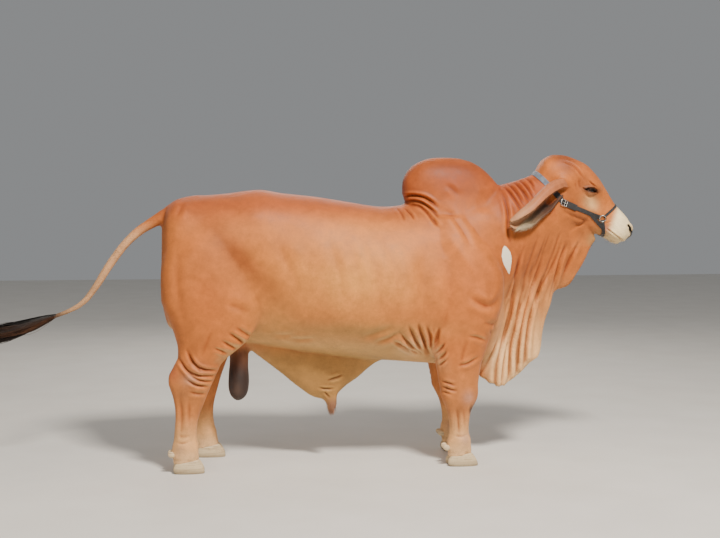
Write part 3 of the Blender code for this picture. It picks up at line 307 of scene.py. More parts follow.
# %% Round off and remesh
VOXEL = 0.0045
EAR_SWELL = 0.0016
rounder = skin.modifiers.new("round_off", "SUBSURF")
rounder.levels = rounder.render_levels = 2
applied(skin)
bare_tree = BVHTree.FromObject(skin, bpy.context.evaluated_depsgraph_get())
ear_pair = bmesh.new()
for name in ears:
    ear_shape = swollen_copy(name, EAR_SWELL)
    ear_mesh = bpy.data.meshes.new(name)
    ear_shape.to_mesh(ear_mesh)
    ear_shape.free()
    ear_pair.from_mesh(ear_mesh)
ear_tree = BVHTree.FromBMesh(ear_pair)
ear_pair.from_mesh(skin.data)
ear_pair.to_mesh(skin.data)
ear_pair.free()
remesh = skin.modifiers.new("even_faces", "REMESH")
remesh.mode = "VOXEL"
remesh.voxel_size = VOXEL
applied(skin)
bpy.data.collections.remove(scratch)
print("remeshed skin:", len(skin.data.vertices), "points")

# %% [markdown]
# The head shows far finer forms than the flank, so its faces are divided once more. From here on the
# skin is handled as arrays of points, which move along their normals as clay moves under a thumb.

# %% Find the head and the ears
HEAD_START = 1.975


def ear_share(points):
    """1 on the ears and 0 on the rest: the ear's own surface is nearer than that of the bare head."""
    share = np.zeros(len(points))
    near = (np.abs(points[:, 1]) > 0.12) & (points[:, 2] > 1.22) & (points[:, 0] - HOOF_X > 1.66)
    for i in np.nonzero(near)[0]:
        bare = bare_tree.find_nearest(points[i])[3]
        share[i] = bare - ear_tree.find_nearest(points[i])[3]
    return ramp(share, 0.001, 0.006)


def is_head(points):
    """The points of the head, without the ears."""
    beyond = points[:, 0] - HOOF_X + (points[:, 2] - 1.4) * 0.35 > HEAD_START
    return beyond & (points[:, 2] > 1.17)


def vertex_array(mesh, name="co", width=3):
    """A vertex property as an array."""
    flat = np.empty(len(mesh.vertices) * width)
    mesh.vertices.foreach_get(name, flat)
    return flat.reshape(-1, width)


print("on an ear:", int((ear_share(vertex_array(skin.data)) > 0.5).sum()), "points")

# %% [markdown]
# Dividing edges in the head's part of the skin gives it four times the faces. Round the eyes and the
# nostrils that is done a second time.

# %% Finer faces on the head
EAR_FINE = 0.2
EYE_FINE, NOSTRIL_FINE = 0.036, 0.026
NOSTRIL_DOWN, NOSTRIL_UP, NOSTRIL_OUT = 0.522, 0.119, 0.064
whole = bmesh.new()
whole.from_mesh(skin.data)
points = vertex_array(skin.data)
fine = is_head(points) | (ear_share(points) > EAR_FINE)
fine_edges = [e for e in whole.edges if fine[e.verts[0].index] and fine[e.verts[1].index]]
bmesh.ops.subdivide_edges(whole, edges=fine_edges, cuts=1, use_grid_fill=True)
whole.verts.ensure_lookup_table()
points = np.array([v.co for v in whole.verts])
finest = np.zeros(len(points), bool)
fine_places = [(np.array(centre), EYE_FINE) for centre in eye_centres.values()]
for side in SIDES.values():
    nostril_place = face_point(NOSTRIL_DOWN, NOSTRIL_UP, side * NOSTRIL_OUT)
    fine_places.append((nostril_place, NOSTRIL_FINE))
for place, radius in fine_places:
    finest |= np.linalg.norm(points - place, axis=1) < radius
whole.verts.index_update()
fine_edges = [e for e in whole.edges if finest[e.verts[0].index] and finest[e.verts[1].index]]
bmesh.ops.subdivide_edges(whole, edges=fine_edges, cuts=1, use_grid_fill=True)
whole.to_mesh(skin.data)
whole.free()
print("with a finer head:", len(skin.data.vertices), "points")

# %% [markdown]
# ### Smoothing that keeps its size
# Plain smoothing shrinks thin parts such as legs and ears. Each round here steps in, and then a little
# further out, which evens the facets away and leaves the size alone.

# %% Smooth the skin
SMOOTH_ROUNDS = 28
HEAD_ROUNDS = 12
HEAD_FIRMNESS = 0.5
STEP_IN, STEP_OUT = 0.5, 0.53
mesh = skin.data
edges = np.empty(len(mesh.edges) * 2, int)
mesh.edges.foreach_get("vertices", edges)
edges = edges.reshape(-1, 2)
neighbours = np.bincount(edges.ravel(), minlength=len(mesh.vertices))[:, None]


def pull(values):
    """How far the mean of its neighbours lies from each value."""
    total = np.empty_like(values)
    for k in range(values.shape[1]):
        total[:, k] = np.bincount(edges[:, 0], values[edges[:, 1], k], len(values))
        total[:, k] += np.bincount(edges[:, 1], values[edges[:, 0], k], len(values))
    return total / neighbours - values


def smoothed(points, rounds, strength=1.0):
    """The points after some rounds of in and out smoothing."""
    for _ in range(rounds):
        points = points + STEP_IN * strength * pull(points)
        points = points - STEP_OUT * strength * pull(points)
    return points


points = vertex_array(mesh)
on_ear = ear_share(points)
head_share = np.maximum(is_head(points), on_ear)[:, None]
for _ in range(HEAD_ROUNDS):
    head_share = head_share + STEP_IN * pull(head_share)
points = smoothed(points, SMOOTH_ROUNDS, 1 - HEAD_FIRMNESS * head_share)
mesh.vertices.foreach_set("co", points.ravel())
mesh.update()
print("smoothed", len(points), "points")

# %% [markdown]
# ### Two thumbs for modelling
# Nearly all the forms of a hide are swellings and creases. A swelling raises the skin round a place. A
# crease presses it in along a line and lifts a soft roll beside it. Creases are drawn in the side view,
# and act on one side of the bull, or on both.

# %% Lines to model along
def curve_through(knots, count=40):
    """Points of a smooth curve through the knots (Catmull-Rom)."""
    knots = np.asarray(knots, float)
    padded = np.vstack([2 * knots[0] - knots[1], knots, 2 * knots[-1] - knots[-2]])
    rows = []
    for share in np.linspace(0, len(knots) - 1, count):
        i = min(int(share), len(knots) - 2)
        t = share - i
        a, b, c, d = padded[i : i + 4]
        square, cube = 2 * a - 5 * b + 4 * c - d, 3 * b - a - 3 * c + d
        rows.append(0.5 * (2 * b + (c - a) * t + square * t**2 + cube * t**3))
    return np.array(rows)


def along_line(spots, line):
    """Each spot's signed distance to the left of a 2D line, and its share along it."""
    best = np.full(len(spots), 1e9)
    signed, share = np.zeros(len(spots)), np.zeros(len(spots))
    run = np.concatenate([[0], np.cumsum(np.linalg.norm(np.diff(line, axis=0), axis=1))])
    for i in range(len(line) - 1):
        step = line[i + 1] - line[i]
        length = np.linalg.norm(step)
        away = spots - line[i]
        t = np.clip(away @ step / length**2, 0, 1)
        gap = away - t[:, None] * step
        far = np.linalg.norm(gap, axis=1)
        closer = far < best
        best[closer] = far[closer]
        cross = step[0] * gap[:, 1] - step[1] * gap[:, 0]
        signed[closer] = np.where(cross >= 0, far, -far)[closer]
        share[closer] = ((run[i] + t * length) / run[-1])[closer]
    return signed, share


def fade(share, start, end):
    """1 along a line, running out to 0 over a share of it at its start and its end."""
    return ramp(np.minimum(share / start, (1 - share) / end), 0.0, 1.0)


print("a line through three knots has", len(curve_through([(0, 0), (1, 1), (2, 0)])), "points")

# %% [markdown]
# The clay itself keeps its points and their normals in arrays. Each move shifts all the points that it
# touches at once, which is quick enough for hundreds of moves.

# %% The clay
class Clay:
    """The skin's points and normals, with the moves that model them."""

    def __init__(self, mesh):
        self.mesh = mesh
        self.points = vertex_array(mesh)
        self.refresh()

    def refresh(self):
        """Writes the points back and reads the new normals."""
        self.mesh.vertices.foreach_set("co", self.points.ravel())
        self.mesh.update()
        self.normals = vertex_array(self.mesh, "normal")

    def swell(self, place, radii, height, sides=(-1, 1), turn=0.0):
        """Raises a soft oval round a place (x from the hoof, y, z). Negative heights hollow it."""
        for side in sides:
            centre = np.array([place[0] + HOOF_X, side * place[1], place[2]])
            away = self.points - centre
            c, s = math.cos(turn), math.sin(turn)
            x = away[:, 0] * c + away[:, 2] * s
            z = away[:, 2] * c - away[:, 0] * s
            near = (np.abs(x) < 2.5 * radii[0]) & (np.abs(z) < 2.5 * radii[2])
            near &= np.abs(away[:, 1]) < 2.5 * radii[1]
            square = (x[near] / radii[0]) ** 2 + (away[near, 1] / radii[1]) ** 2 + (z[near] / radii[2]) ** 2
            self.points[near] += self.normals[near] * (height * np.exp(-square))[:, None]

    def soften(self, share, rounds, along=None):
        """Rubs the clay smooth, as far as share says for each point, or only along a direction."""
        close = edges[(share[edges] > 0.01).any(axis=1)]
        index, local = np.unique(close, return_inverse=True)
        local = local.reshape(-1, 2)
        heed = np.ones(len(close))
        if along is not None:
            step = self.points[close[:, 1]] - self.points[close[:, 0]]
            heed = np.abs(step @ along / np.linalg.norm(step, axis=1)) ** 6 + 0.01
        count = np.bincount(local.ravel(), np.repeat(heed, 2), len(index))[:, None]
        places, rub = self.points[index], 0.5 * share[index][:, None]
        for _ in range(rounds):
            total = np.empty_like(places)
            for k in range(3):
                total[:, k] = np.bincount(local[:, 0], places[local[:, 1], k] * heed, len(index))
                total[:, k] += np.bincount(local[:, 1], places[local[:, 0], k] * heed, len(index))
            places = places + rub * (total / count - places)
        self.points[index] = places
        self.refresh()

    def crease(self, knots, width, depth, roll=0.5, face=False, start=0.4, end=0.4, hem=0.0):
        """Presses a fold in along a line, with a roll on both banks.

        A line is drawn in the side view, or in the head's frame where face is true. With hem, the
        fold also notches the free edge that it runs over."""
        line = curve_through(knots if face else side_line(knots), 24)
        if face:
            down, up, _ = face_places(self.points)
            flat = np.stack([down, up], axis=1)
        else:
            flat = self.points[:, [0, 2]]
        low, high = line.min(axis=0) - 4 * width, line.max(axis=0) + 4 * width
        box = np.all((flat > low) & (flat < high), axis=1)
        for side in (-1, 1):
            near = box & (self.points[:, 1] * side > 0) & (self.normals[:, 1] * side > 0.12 - hem)
            index = np.nonzero(near)[0]
            if not len(index):
                continue
            signed, share = along_line(flat[index], line)
            t = signed / width
            form = roll * bell((np.abs(t) - 1.6) / 0.9) - bell(t / 0.7)
            facing = np.clip(self.normals[index, 1] * side * 1.6 + hem, 0, 1) * (1 - on_ear[index])
            move = depth * form * fade(share, start, end) * facing
            self.points[index] += self.normals[index] * move[:, None]


clay = Clay(mesh)
print("clay ready")

# %% [markdown]
# ### Bones and muscles
# A sleek coat shows what lies under it. The hip bone, the stifle, the shoulder blade's ridge, the muscle
# of the upper arm, the knees, hocks and fetlocks, and the grooves along the tendons catch the light.

# %% Model the body's landmarks
BONES = [
    ((0.35, 0.235, 1.35), (0.08, 0.07, 0.05), 0.01),
    ((-0.07, 0.12, 1.285), (0.045, 0.045, 0.05), 0.008),
    ((0.52, 0.27, 1.24), (0.11, 0.08, 0.08), -0.009),
    ((0.33, 0.3, 0.9), (0.1, 0.08, 0.11), 0.01),
    ((1.45, 0.28, 0.93), (0.11, 0.09, 0.12), 0.012),
    ((1.63, 0.23, 1.0), (0.06, 0.08, 0.07), 0.012),
    ((1.33, 0.28, 0.69), (0.04, 0.06, 0.05), 0.008),
    ((1.54, 0.205, 0.385), (0.03, 0.06, 0.045), 0.005),
    ((-0.105, 0.205, 0.515), (0.03, 0.05, 0.035), 0.004),
    ((0.01, 0.245, 0.6), (0.02, 0.06, 0.065), -0.009),
    ((0.08, 0.245, 0.48), (0.04, 0.05, 0.05), 0.004),
    ((1.375, 0.25, 0.375), (0.02, 0.05, 0.025), 0.006),
    ((1.49, 0.27, 0.41), (0.026, 0.04, 0.02), 0.004),
    ((1.495, 0.27, 0.35), (0.026, 0.04, 0.02), 0.004),
    ((-0.07, 0.26, 0.56), (0.022, 0.05, 0.04), 0.005),
    ((0.06, 0.27, 0.52), (0.03, 0.04, 0.03), 0.004),
]
for place, radii, height in BONES:
    clay.swell(place, radii, height)
print("modelled", len(BONES), "bones and muscles")

# %% [markdown]
# A leg also swells and narrows all round, at the knee, the fetlock and the pastern, and skin gathers at
# the root of each dewclaw.

# %% Model the legs
LEG_RINGS = [
    # where along the bull, how high, over what height, and how far the whole leg swells there
    (1.45, 0.38, 0.04, 0.004),
    (1.45, 0.295, 0.035, -0.004),
    (1.45, 0.14, 0.022, 0.005),
    (1.45, 0.101, 0.013, -0.001),
    (-0.02, 0.3, 0.06, -0.003),
    (-0.02, 0.142, 0.022, 0.005),
    (-0.02, 0.101, 0.013, -0.001),
    (1.45, 0.08, 0.012, -0.003),
    (-0.02, 0.08, 0.012, -0.003),
]
CORONET_OVERLAP = 0.006
CORONET_ABOVE, CORONET_BELOW = 0.105, 0.088
LEG_OUT, LEG_REACH = 0.06, 0.3
DEWCLAW_COLLAR = 0.016
DEWCLAW_SPREAD = 0.028
for x, height, spread, swell in LEG_RINGS:
    rise = clay.points[:, 2] - height
    near = (np.abs(clay.points[:, 0] - HOOF_X - x) < LEG_REACH) & (np.abs(rise) < 3 * spread)
    near &= np.abs(clay.points[:, 1]) > LEG_OUT
    clay.points[near] += clay.normals[near] * (swell * bell(rise[near] / spread))[:, None]
# the hair's edge hangs a little over the horn, and skin gathers round the root of each dewclaw
clay.points[:, 2] -= CORONET_OVERLAP * ramp(clay.points[:, 2], CORONET_ABOVE, CORONET_BELOW)
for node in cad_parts:
    if node.startswith("dewclaw_"):
        far = np.linalg.norm(clay.points - np.array(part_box(node)[0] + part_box(node)[1]) / 2, axis=1)
        near = far < 2 * DEWCLAW_SPREAD
        swell = DEWCLAW_COLLAR * bell(far[near] / DEWCLAW_SPREAD)
        clay.points[near] += clay.normals[near] * swell[:, None]
clay.refresh()
print("modelled", len(LEG_RINGS), "rings of the legs")

# %% [markdown]
# Between the muscles run long shallow grooves, and the ribs show as faint ones.

# %% Model the grooves
MUSCLE_GROOVES = [
    ([(-0.03, 1.24), (-0.06, 1.05), (-0.045, 0.88), (0.0, 0.72)], 0.03, 0.006, 0.3),
    ([(0.13, 0.78), (0.09, 0.69), (0.06, 0.6)], 0.022, 0.006, 0.2),
    ([(1.24, 1.2), (1.225, 1.02), (1.25, 0.86), (1.3, 0.74)], 0.06, 0.01, 0.3),
    ([(1.34, 1.29), (1.45, 1.13), (1.56, 0.99)], 0.045, -0.006, 0.2),
    ([(1.47, 0.72), (1.44, 0.6), (1.432, 0.5)], 0.018, 0.005, 0.2),
    ([(1.415, 0.34), (1.43, 0.24), (1.436, 0.15)], 0.015, 0.006, 0.5),
    ([(-0.052, 0.44), (-0.042, 0.3), (-0.048, 0.16)], 0.016, 0.006, 0.5),
    ([(1.452, 0.33), (1.462, 0.25), (1.468, 0.19)], 0.012, 0.003, 0.5),
    ([(0.002, 0.42), (-0.002, 0.32), (-0.004, 0.22)], 0.013, 0.003, 0.5),
    ([(0.7, 1.3), (0.78, 1.05), (0.8, 0.82)], 0.034, 0.003, 0.5),
    ([(0.8, 1.3), (0.88, 1.05), (0.9, 0.8)], 0.034, 0.003, 0.5),
    ([(0.905, 1.29), (0.98, 1.05), (1.0, 0.78)], 0.034, 0.003, 0.5),
    ([(1.01, 1.27), (1.08, 1.05), (1.09, 0.78)], 0.034, 0.003, 0.5),
]
for knots, width, depth, roll in MUSCLE_GROOVES:
    clay.crease(knots, width, depth, roll)
clay.refresh()
print("modelled", len(MUSCLE_GROOVES), "grooves")

# %% [markdown]
# ### Folds of loose skin
# A Brahman carries far more skin than it fills. It bunches in slanting folds on the crest, creases behind
# the hump where that leans over the withers, hangs in long pleats down the neck and dewlap, and wrinkles
# round the elbow, the stifle and the hock.

# %% Model the folds
FOLDS = [
    # where the hump's front runs down into the neck, as far as the shoulder's point
    ([(1.682, 1.5), (1.702, 1.429), (1.712, 1.348), (1.708, 1.255), (1.735, 1.157)], 0.013, 0.008),
    # on the crest, from the top line slanting down and forward
    ([(1.7, 1.53), (1.737, 1.467), (1.771, 1.407), (1.8, 1.345)], 0.011, 0.009),
    ([(1.727, 1.54), (1.771, 1.467), (1.808, 1.385)], 0.011, 0.009),
    ([(1.764, 1.548), (1.804, 1.483), (1.848, 1.402)], 0.011, 0.009),
    ([(1.798, 1.56), (1.831, 1.505), (1.872, 1.43)], 0.01, 0.008),
    ([(1.838, 1.57), (1.862, 1.53), (1.885, 1.49)], 0.009, 0.006),
    # where the hump leans over the back
    ([(1.128, 1.418), (1.188, 1.45), (1.248, 1.446), (1.291, 1.425), (1.345, 1.38)], 0.011, 0.014),
    ([(1.14, 1.408), (1.194, 1.426), (1.248, 1.416), (1.297, 1.378), (1.345, 1.325)], 0.01, 0.011),
    ([(1.167, 1.402), (1.226, 1.402), (1.264, 1.374), (1.3, 1.322), (1.34, 1.265)], 0.011, 0.008),
    ([(1.345, 1.385), (1.405, 1.34), (1.46, 1.255), (1.5, 1.16)], 0.022, 0.006),
    ([(1.15, 1.4), (1.188, 1.352), (1.205, 1.315)], 0.01, 0.006),
    ([(1.113, 1.404), (1.138, 1.355), (1.15, 1.31)], 0.01, 0.004),
    ([(1.372, 1.52), (1.416, 1.485), (1.45, 1.44)], 0.018, 0.004),
    # the shoulder's point and the hollow before the arm
    ([(1.45, 0.945), (1.52, 0.892), (1.58, 0.868), (1.632, 0.895), (1.68, 0.965)], 0.024, 0.011),
    ([(1.54, 0.785), (1.625, 0.765), (1.7, 0.79)], 0.018, 0.009),
    ([(1.585, 0.75), (1.61, 0.715), (1.632, 0.685)], 0.01, 0.008),
    ([(1.45, 0.712), (1.515, 0.702), (1.59, 0.672)], 0.013, 0.005),
    ([(1.4, 0.552), (1.469, 0.562), (1.545, 0.605)], 0.012, 0.006),
    # armpit and elbow
    ([(1.2, 0.8), (1.216, 0.735), (1.255, 0.65), (1.296, 0.572)], 0.013, 0.017),
    ([(1.25, 0.775), (1.272, 0.702), (1.282, 0.64), (1.297, 0.601)], 0.01, 0.01),
    ([(1.14, 0.79), (1.178, 0.715), (1.225, 0.645), (1.284, 0.582)], 0.012, 0.011),
    ([(1.095, 0.745), (1.14, 0.69), (1.198, 0.634), (1.268, 0.586)], 0.011, 0.01),
    ([(1.055, 0.7), (1.11, 0.664), (1.17, 0.628), (1.24, 0.598)], 0.01, 0.008),
    ([(1.323, 0.764), (1.31, 0.7), (1.304, 0.655)], 0.011, 0.009),
    ([(1.35, 0.68), (1.33, 0.64), (1.306, 0.601)], 0.009, 0.008),
    ([(1.36, 0.635), (1.34, 0.6), (1.316, 0.563)], 0.009, 0.008),
    ([(1.358, 0.59), (1.34, 0.565), (1.32, 0.536)], 0.009, 0.007),
    ([(1.33, 0.466), (1.37, 0.455), (1.41, 0.441)], 0.009, 0.006),
    ([(1.335, 0.44), (1.382, 0.42), (1.425, 0.414)], 0.009, 0.006),
    ([(1.34, 0.41), (1.37, 0.402), (1.392, 0.398)], 0.008, 0.004),
    ([(0.88, 0.7), (0.98, 0.728), (1.08, 0.772)], 0.026, 0.005),
    ([(0.96, 0.672), (1.05, 0.7), (1.12, 0.742)], 0.018, 0.006),
    # rump and flank
    ([(-0.065, 1.33), (-0.035, 1.392), (-0.008, 1.435)], 0.018, 0.004),
    ([(0.44, 1.25), (0.52, 1.085), (0.6, 0.9)], 0.04, 0.005),
    ([(0.18, 0.905), (0.264, 0.873), (0.34, 0.835)], 0.026, 0.005),
    # stifle, and the fold of the flank below it
    ([(0.195, 0.752), (0.248, 0.715), (0.3, 0.672)], 0.012, 0.008),
    ([(0.16, 0.712), (0.21, 0.678), (0.256, 0.65)], 0.011, 0.007),
    ([(0.232, 0.782), (0.29, 0.74), (0.344, 0.7)], 0.014, 0.006),
    ([(0.12, 0.672), (0.165, 0.65), (0.205, 0.63)], 0.01, 0.005),
    ([(0.42, 0.726), (0.49, 0.712), (0.57, 0.722)], 0.018, 0.004),
    ([(0.5, 0.702), (0.59, 0.69), (0.68, 0.702)], 0.016, 0.004),
    # over the hock
    ([(-0.02, 0.675), (0.022, 0.59), (0.076, 0.553), (0.165, 0.54)], 0.011, 0.011),
    ([(-0.07, 0.64), (-0.021, 0.562), (0.025, 0.529), (0.076, 0.517), (0.16, 0.516)], 0.011, 0.012),
    ([(-0.035, 0.558), (0.025, 0.509), (0.076, 0.492), (0.14, 0.486)], 0.01, 0.01),
    ([(-0.02, 0.506), (0.04, 0.472), (0.112, 0.462)], 0.01, 0.008),
    ([(0.03, 0.58), (0.07, 0.534), (0.125, 0.526)], 0.007, 0.004),
    ([(-0.01, 0.438), (0.045, 0.424), (0.098, 0.42)], 0.011, 0.005),
    ([(-0.07, 0.205), (-0.03, 0.198), (0.01, 0.204)], 0.01, 0.002),
    ([(-0.08, 0.172), (-0.04, 0.164), (0.0, 0.172)], 0.008, 0.002),
    ([(1.4, 0.172), (1.44, 0.164), (1.48, 0.17)], 0.008, 0.002),
    # the sheath's own folds
    ([(0.735, 0.446), (0.8, 0.466), (0.838, 0.484)], 0.01, 0.008),
    ([(0.69, 0.412), (0.735, 0.402), (0.79, 0.404)], 0.008, 0.006),
    ([(0.725, 0.392), (0.745, 0.368), (0.765, 0.345)], 0.007, 0.004),
]
for knots, width, depth in FOLDS:
    clay.crease(knots, width, depth, roll=0.7)
clay.refresh()
print("modelled", len(FOLDS), "folds")

# %% [markdown]
# The pleats of the neck hang like a curtain. They start thin below the jaw and at the shoulder, run down
# and a little back, and end as thick rounded fingers that scallop the free edge of the dewlap. The deep
# ones are drawn one by one, and a seeded draw lays thin ones between them high on the neck.

# %% Hang the pleats
PLEATS = [
    ([(2.165, 1.215), (2.11, 1.13), (2.06, 0.99)], 0.012, 0.008),
    ([(2.075, 1.2), (2.03, 1.075), (2.012, 0.93)], 0.014, 0.015),
    ([(2.04, 1.2), (1.981, 1.043), (1.926, 0.927), (1.893, 0.79)], 0.013, 0.01),
    ([(2.01, 1.19), (1.931, 0.966), (1.87, 0.79), (1.85, 0.631), (1.848, 0.52)], 0.013, 0.016),
    ([(1.94, 1.16), (1.88, 0.98), (1.83, 0.8), (1.808, 0.62), (1.811, 0.45)], 0.012, 0.014),
    ([(1.88, 1.11), (1.857, 0.98), (1.8, 0.8), (1.763, 0.6), (1.766, 0.42)], 0.013, 0.016),
    ([(1.83, 1.08), (1.815, 0.92), (1.765, 0.7), (1.722, 0.52), (1.715, 0.37)], 0.011, 0.01),
    (
        [(1.785, 1.23), (1.769, 1.06), (1.756, 0.82), (1.715, 0.63), (1.683, 0.5), (1.68, 0.37)],
        0.014, 0.012,
    ),
    ([(1.69, 0.68), (1.662, 0.59), (1.628, 0.515), (1.575, 0.43)], 0.012, 0.01),
]
HEM_REACH = 0.6
HEM_NOTCH = 0.6
HEM_END, SOFT_END = 0.03, 0.35
HANG = (0.15, 0.0, 0.99)
HANG_ROUNDS, EVEN_ROUNDS = 50, 4
THIN_PLEATS = 20
PLEAT_SEED = 11
draw = random.Random(PLEAT_SEED)
for knots, width, depth in PLEATS:
    at_hem = knots[-1][1] < HEM_REACH
    end = HEM_END if at_hem else SOFT_END
    clay.crease(knots, width, depth, roll=0.8, start=SOFT_END, end=end, hem=HEM_NOTCH * at_hem)
    clay.refresh()
for i in range(THIN_PLEATS):
    share = i / (THIN_PLEATS - 1)
    x, z = 1.76 + 0.3 * share, 1.14 + 0.12 * share + draw.uniform(-0.22, 0.08)
    length = draw.uniform(0.14, 0.36)
    knots = [(x, z), (x - 0.16 * length, z - 0.5 * length), (x - 0.28 * length, z - length)]
    clay.crease(knots, draw.uniform(0.007, 0.012), draw.uniform(0.002, 0.005), start=0.4, end=0.4)
low_x, low_z = clay.points[:, 0] - HOOF_X, clay.points[:, 2]
hanging = ramp(low_x, 1.56, 1.64) * ramp(low_z, 1.2, 1.05) * ramp(low_z, 0.3, 0.5) * ~is_head(clay.points)
clay.soften(hanging, HANG_ROUNDS, np.array(HANG))
clay.soften(hanging * 0.5, EVEN_ROUNDS)
clay.points = smoothed(clay.points, 2)
clay.refresh()
print("hung", len(PLEATS), "deep pleats and", THIN_PLEATS, "thin ones")

# %% [markdown]
# ## The head
# The face gets the most care. Its forms are drawn in the head's own frame, as the breed has them: the
# heavy brow that shades the eye, the crease from the poll round the temple, the long nasal bone, the jaw's
# edge, the soft muzzle with its lips, and the wings of the nostrils.

# %% Model the face
FACE_SWELLS = [
    # down, up, out; how far down, out and up it spreads; height
    ((0.165, 0.165, 0.08), (0.05, 0.03, 0.026), 0.008),
    ((0.205, 0.158, 0.088), (0.04, 0.026, 0.016), 0.006),
    ((0.215, 0.074, 0.1), (0.05, 0.03, 0.018), 0.005),
    ((0.55, 0.1, 0.0), (0.03, 0.045, 0.036), 0.008),
    ((0.47, 0.06, 0.07), (0.05, 0.03, 0.034), 0.005),
    ((0.232, 0.16, 0.078), (0.026, 0.024, 0.016), 0.008),
    ((0.3, 0.17, 0.045), (0.09, 0.03, 0.03), 0.004),
    ((0.3, 0.06, 0.075), (0.08, 0.03, 0.016), 0.004),
    ((0.35, 0.11, 0.07), (0.06, 0.04, 0.03), -0.005),
    ((0.17, -0.04, 0.095), (0.08, 0.06, 0.04), 0.005),
    ((0.24, 0.085, 0.098), (0.03, 0.016, 0.03), 0.003),
    ((0.495, 0.088, 0.066), (0.042, 0.03, 0.03), 0.008),
    ((0.52, 0.06, 0.04), (0.03, 0.036, 0.022), 0.004),
    ((0.478, 0.02, 0.045), (0.034, 0.034, 0.018), 0.004),
    ((0.524, 0.128, 0.06), (0.02, 0.02, 0.024), 0.004),
    ((0.128, 0.1, 0.105), (0.034, 0.03, 0.032), -0.007),
]


def face_swell(place, radii, height):
    """Raises a soft oval round a place of the head's frame, on both sides."""
    down, up, out = face_places(clay.points)
    for side in (-1, 1):
        square = ((down - place[0]) / radii[0]) ** 2 + ((up - place[1]) / radii[2]) ** 2
        square += ((out - side * place[2]) / radii[1]) ** 2
        near = square < 7
        clay.points[near] += clay.normals[near] * (height * np.exp(-square[near]))[:, None]


# the solid's muzzle is squarer than a living one, and its nostrils are made anew below
MUZZLE_ROUNDS = 16
OLD_PIT = (0.52, 0.118, 0.062)
PIT_RADIUS, PIT_CORE, PIT_ROUNDS = 0.034, 0.02, 120
down, up, out = face_places(clay.points)
clay.soften(is_head(clay.points) * ramp(down, 0.47, 0.5), MUZZLE_ROUNDS)
from_pit = np.hypot(np.hypot(down - OLD_PIT[0], up - OLD_PIT[1]), (np.abs(out) - OLD_PIT[2]) * 0.7)
clay.soften(is_head(clay.points) * ramp(from_pit, PIT_RADIUS, PIT_CORE), PIT_ROUNDS)
for place, radii, height in FACE_SWELLS:
    face_swell(place, radii, height)
clay.refresh()
print("modelled", len(FACE_SWELLS), "forms of the face")

# %% [markdown]
# Fine creases part those forms, all of them drawn in the head's frame.

# %% Crease the face
FACE_CREASES = [
    # from the poll round the temple, seen from the side, and the folds round the eye
    ([(-0.03, 0.128), (0.02, 0.15), (0.07, 0.152), (0.12, 0.14), (0.16, 0.132)], 0.009, 0.007),
    ([(0.15, 0.15), (0.185, 0.15), (0.215, 0.15), (0.24, 0.146)], 0.006, 0.006),
    ([(0.112, 0.122), (0.136, 0.098), (0.165, 0.082)], 0.008, 0.003),
    ([(0.104, 0.1), (0.13, 0.076), (0.16, 0.058)], 0.008, 0.002),
    ([(0.192, 0.11), (0.176, 0.101), (0.156, 0.098)], 0.005, 0.005),
    ([(0.224, 0.129), (0.24, 0.136), (0.254, 0.136)], 0.005, 0.005),
    ([(0.185, 0.088), (0.215, 0.084), (0.245, 0.096)], 0.006, 0.003),
    ([(0.12, -0.075), (0.2, -0.06), (0.28, -0.03), (0.35, 0.004)], 0.012, 0.004),
    ([(0.4, 0.04), (0.408, 0.064), (0.424, 0.084)], 0.006, 0.002),
]
for knots, width, depth in FACE_CREASES:
    clay.crease(knots, width, depth, face=True)
clay.refresh()
print("modelled", len(FACE_CREASES), "creases of the face")

# %% [markdown]
# ### The mouth
# The lips meet in a line that starts under the cheek and runs level round the front of the muzzle. A deep
# narrow crease follows it round, with a full soft lip above and the chin's lip tucked in below.

# %% Press in the mouth
MOUTH_CORNER = (0.428, 0.034)
MOUTH_FRONT = (0.556, 0.052)
MOUTH_WIDTH = 0.0042
MOUTH_DEPTH = 0.006
PHILTRUM_DIP, PHILTRUM_WIDTH = 0.006, 0.016
UPPER_LIP, LOWER_LIP = 0.45, 0.25
down, up, out = face_places(clay.points)
ahead = np.clip((down - MOUTH_CORNER[0]) / (MOUTH_FRONT[0] - MOUTH_CORNER[0]), -1, 1.2)
mouth_up = MOUTH_CORNER[1] + (MOUTH_FRONT[1] - MOUTH_CORNER[1]) * np.clip(ahead, 0, 1) ** 2
mouth_up -= PHILTRUM_DIP * bell(out / PHILTRUM_WIDTH) * np.clip(ahead, 0, 1)
t = (up - mouth_up) / MOUTH_WIDTH
muzzle = (ahead > -0.05) & (np.abs(t) < 5)
begin = np.clip((ahead[muzzle] + 0.02) / 0.1, 0, 1)
lips = -bell(t[muzzle]) + UPPER_LIP * bell((t[muzzle] - 2.0) / 1.1)
lips += LOWER_LIP * bell((t[muzzle] + 2.0) / 1.1)
clay.points[muzzle] += clay.normals[muzzle] * (MOUTH_DEPTH * lips * begin)[:, None]
clay.refresh()
print("the mouth runs through", int(muzzle.sum()), "points")

# %% [markdown]
# ### Nostrils
# A nostril is a comma: round and open beside the nose pad, with a tail that runs up and back under its
# wing. A curve is drawn near the surface in the head's frame and dropped onto the nearest points. The clay
# round it is pressed straight in, more at the round end, and a rim rolls up beside it.

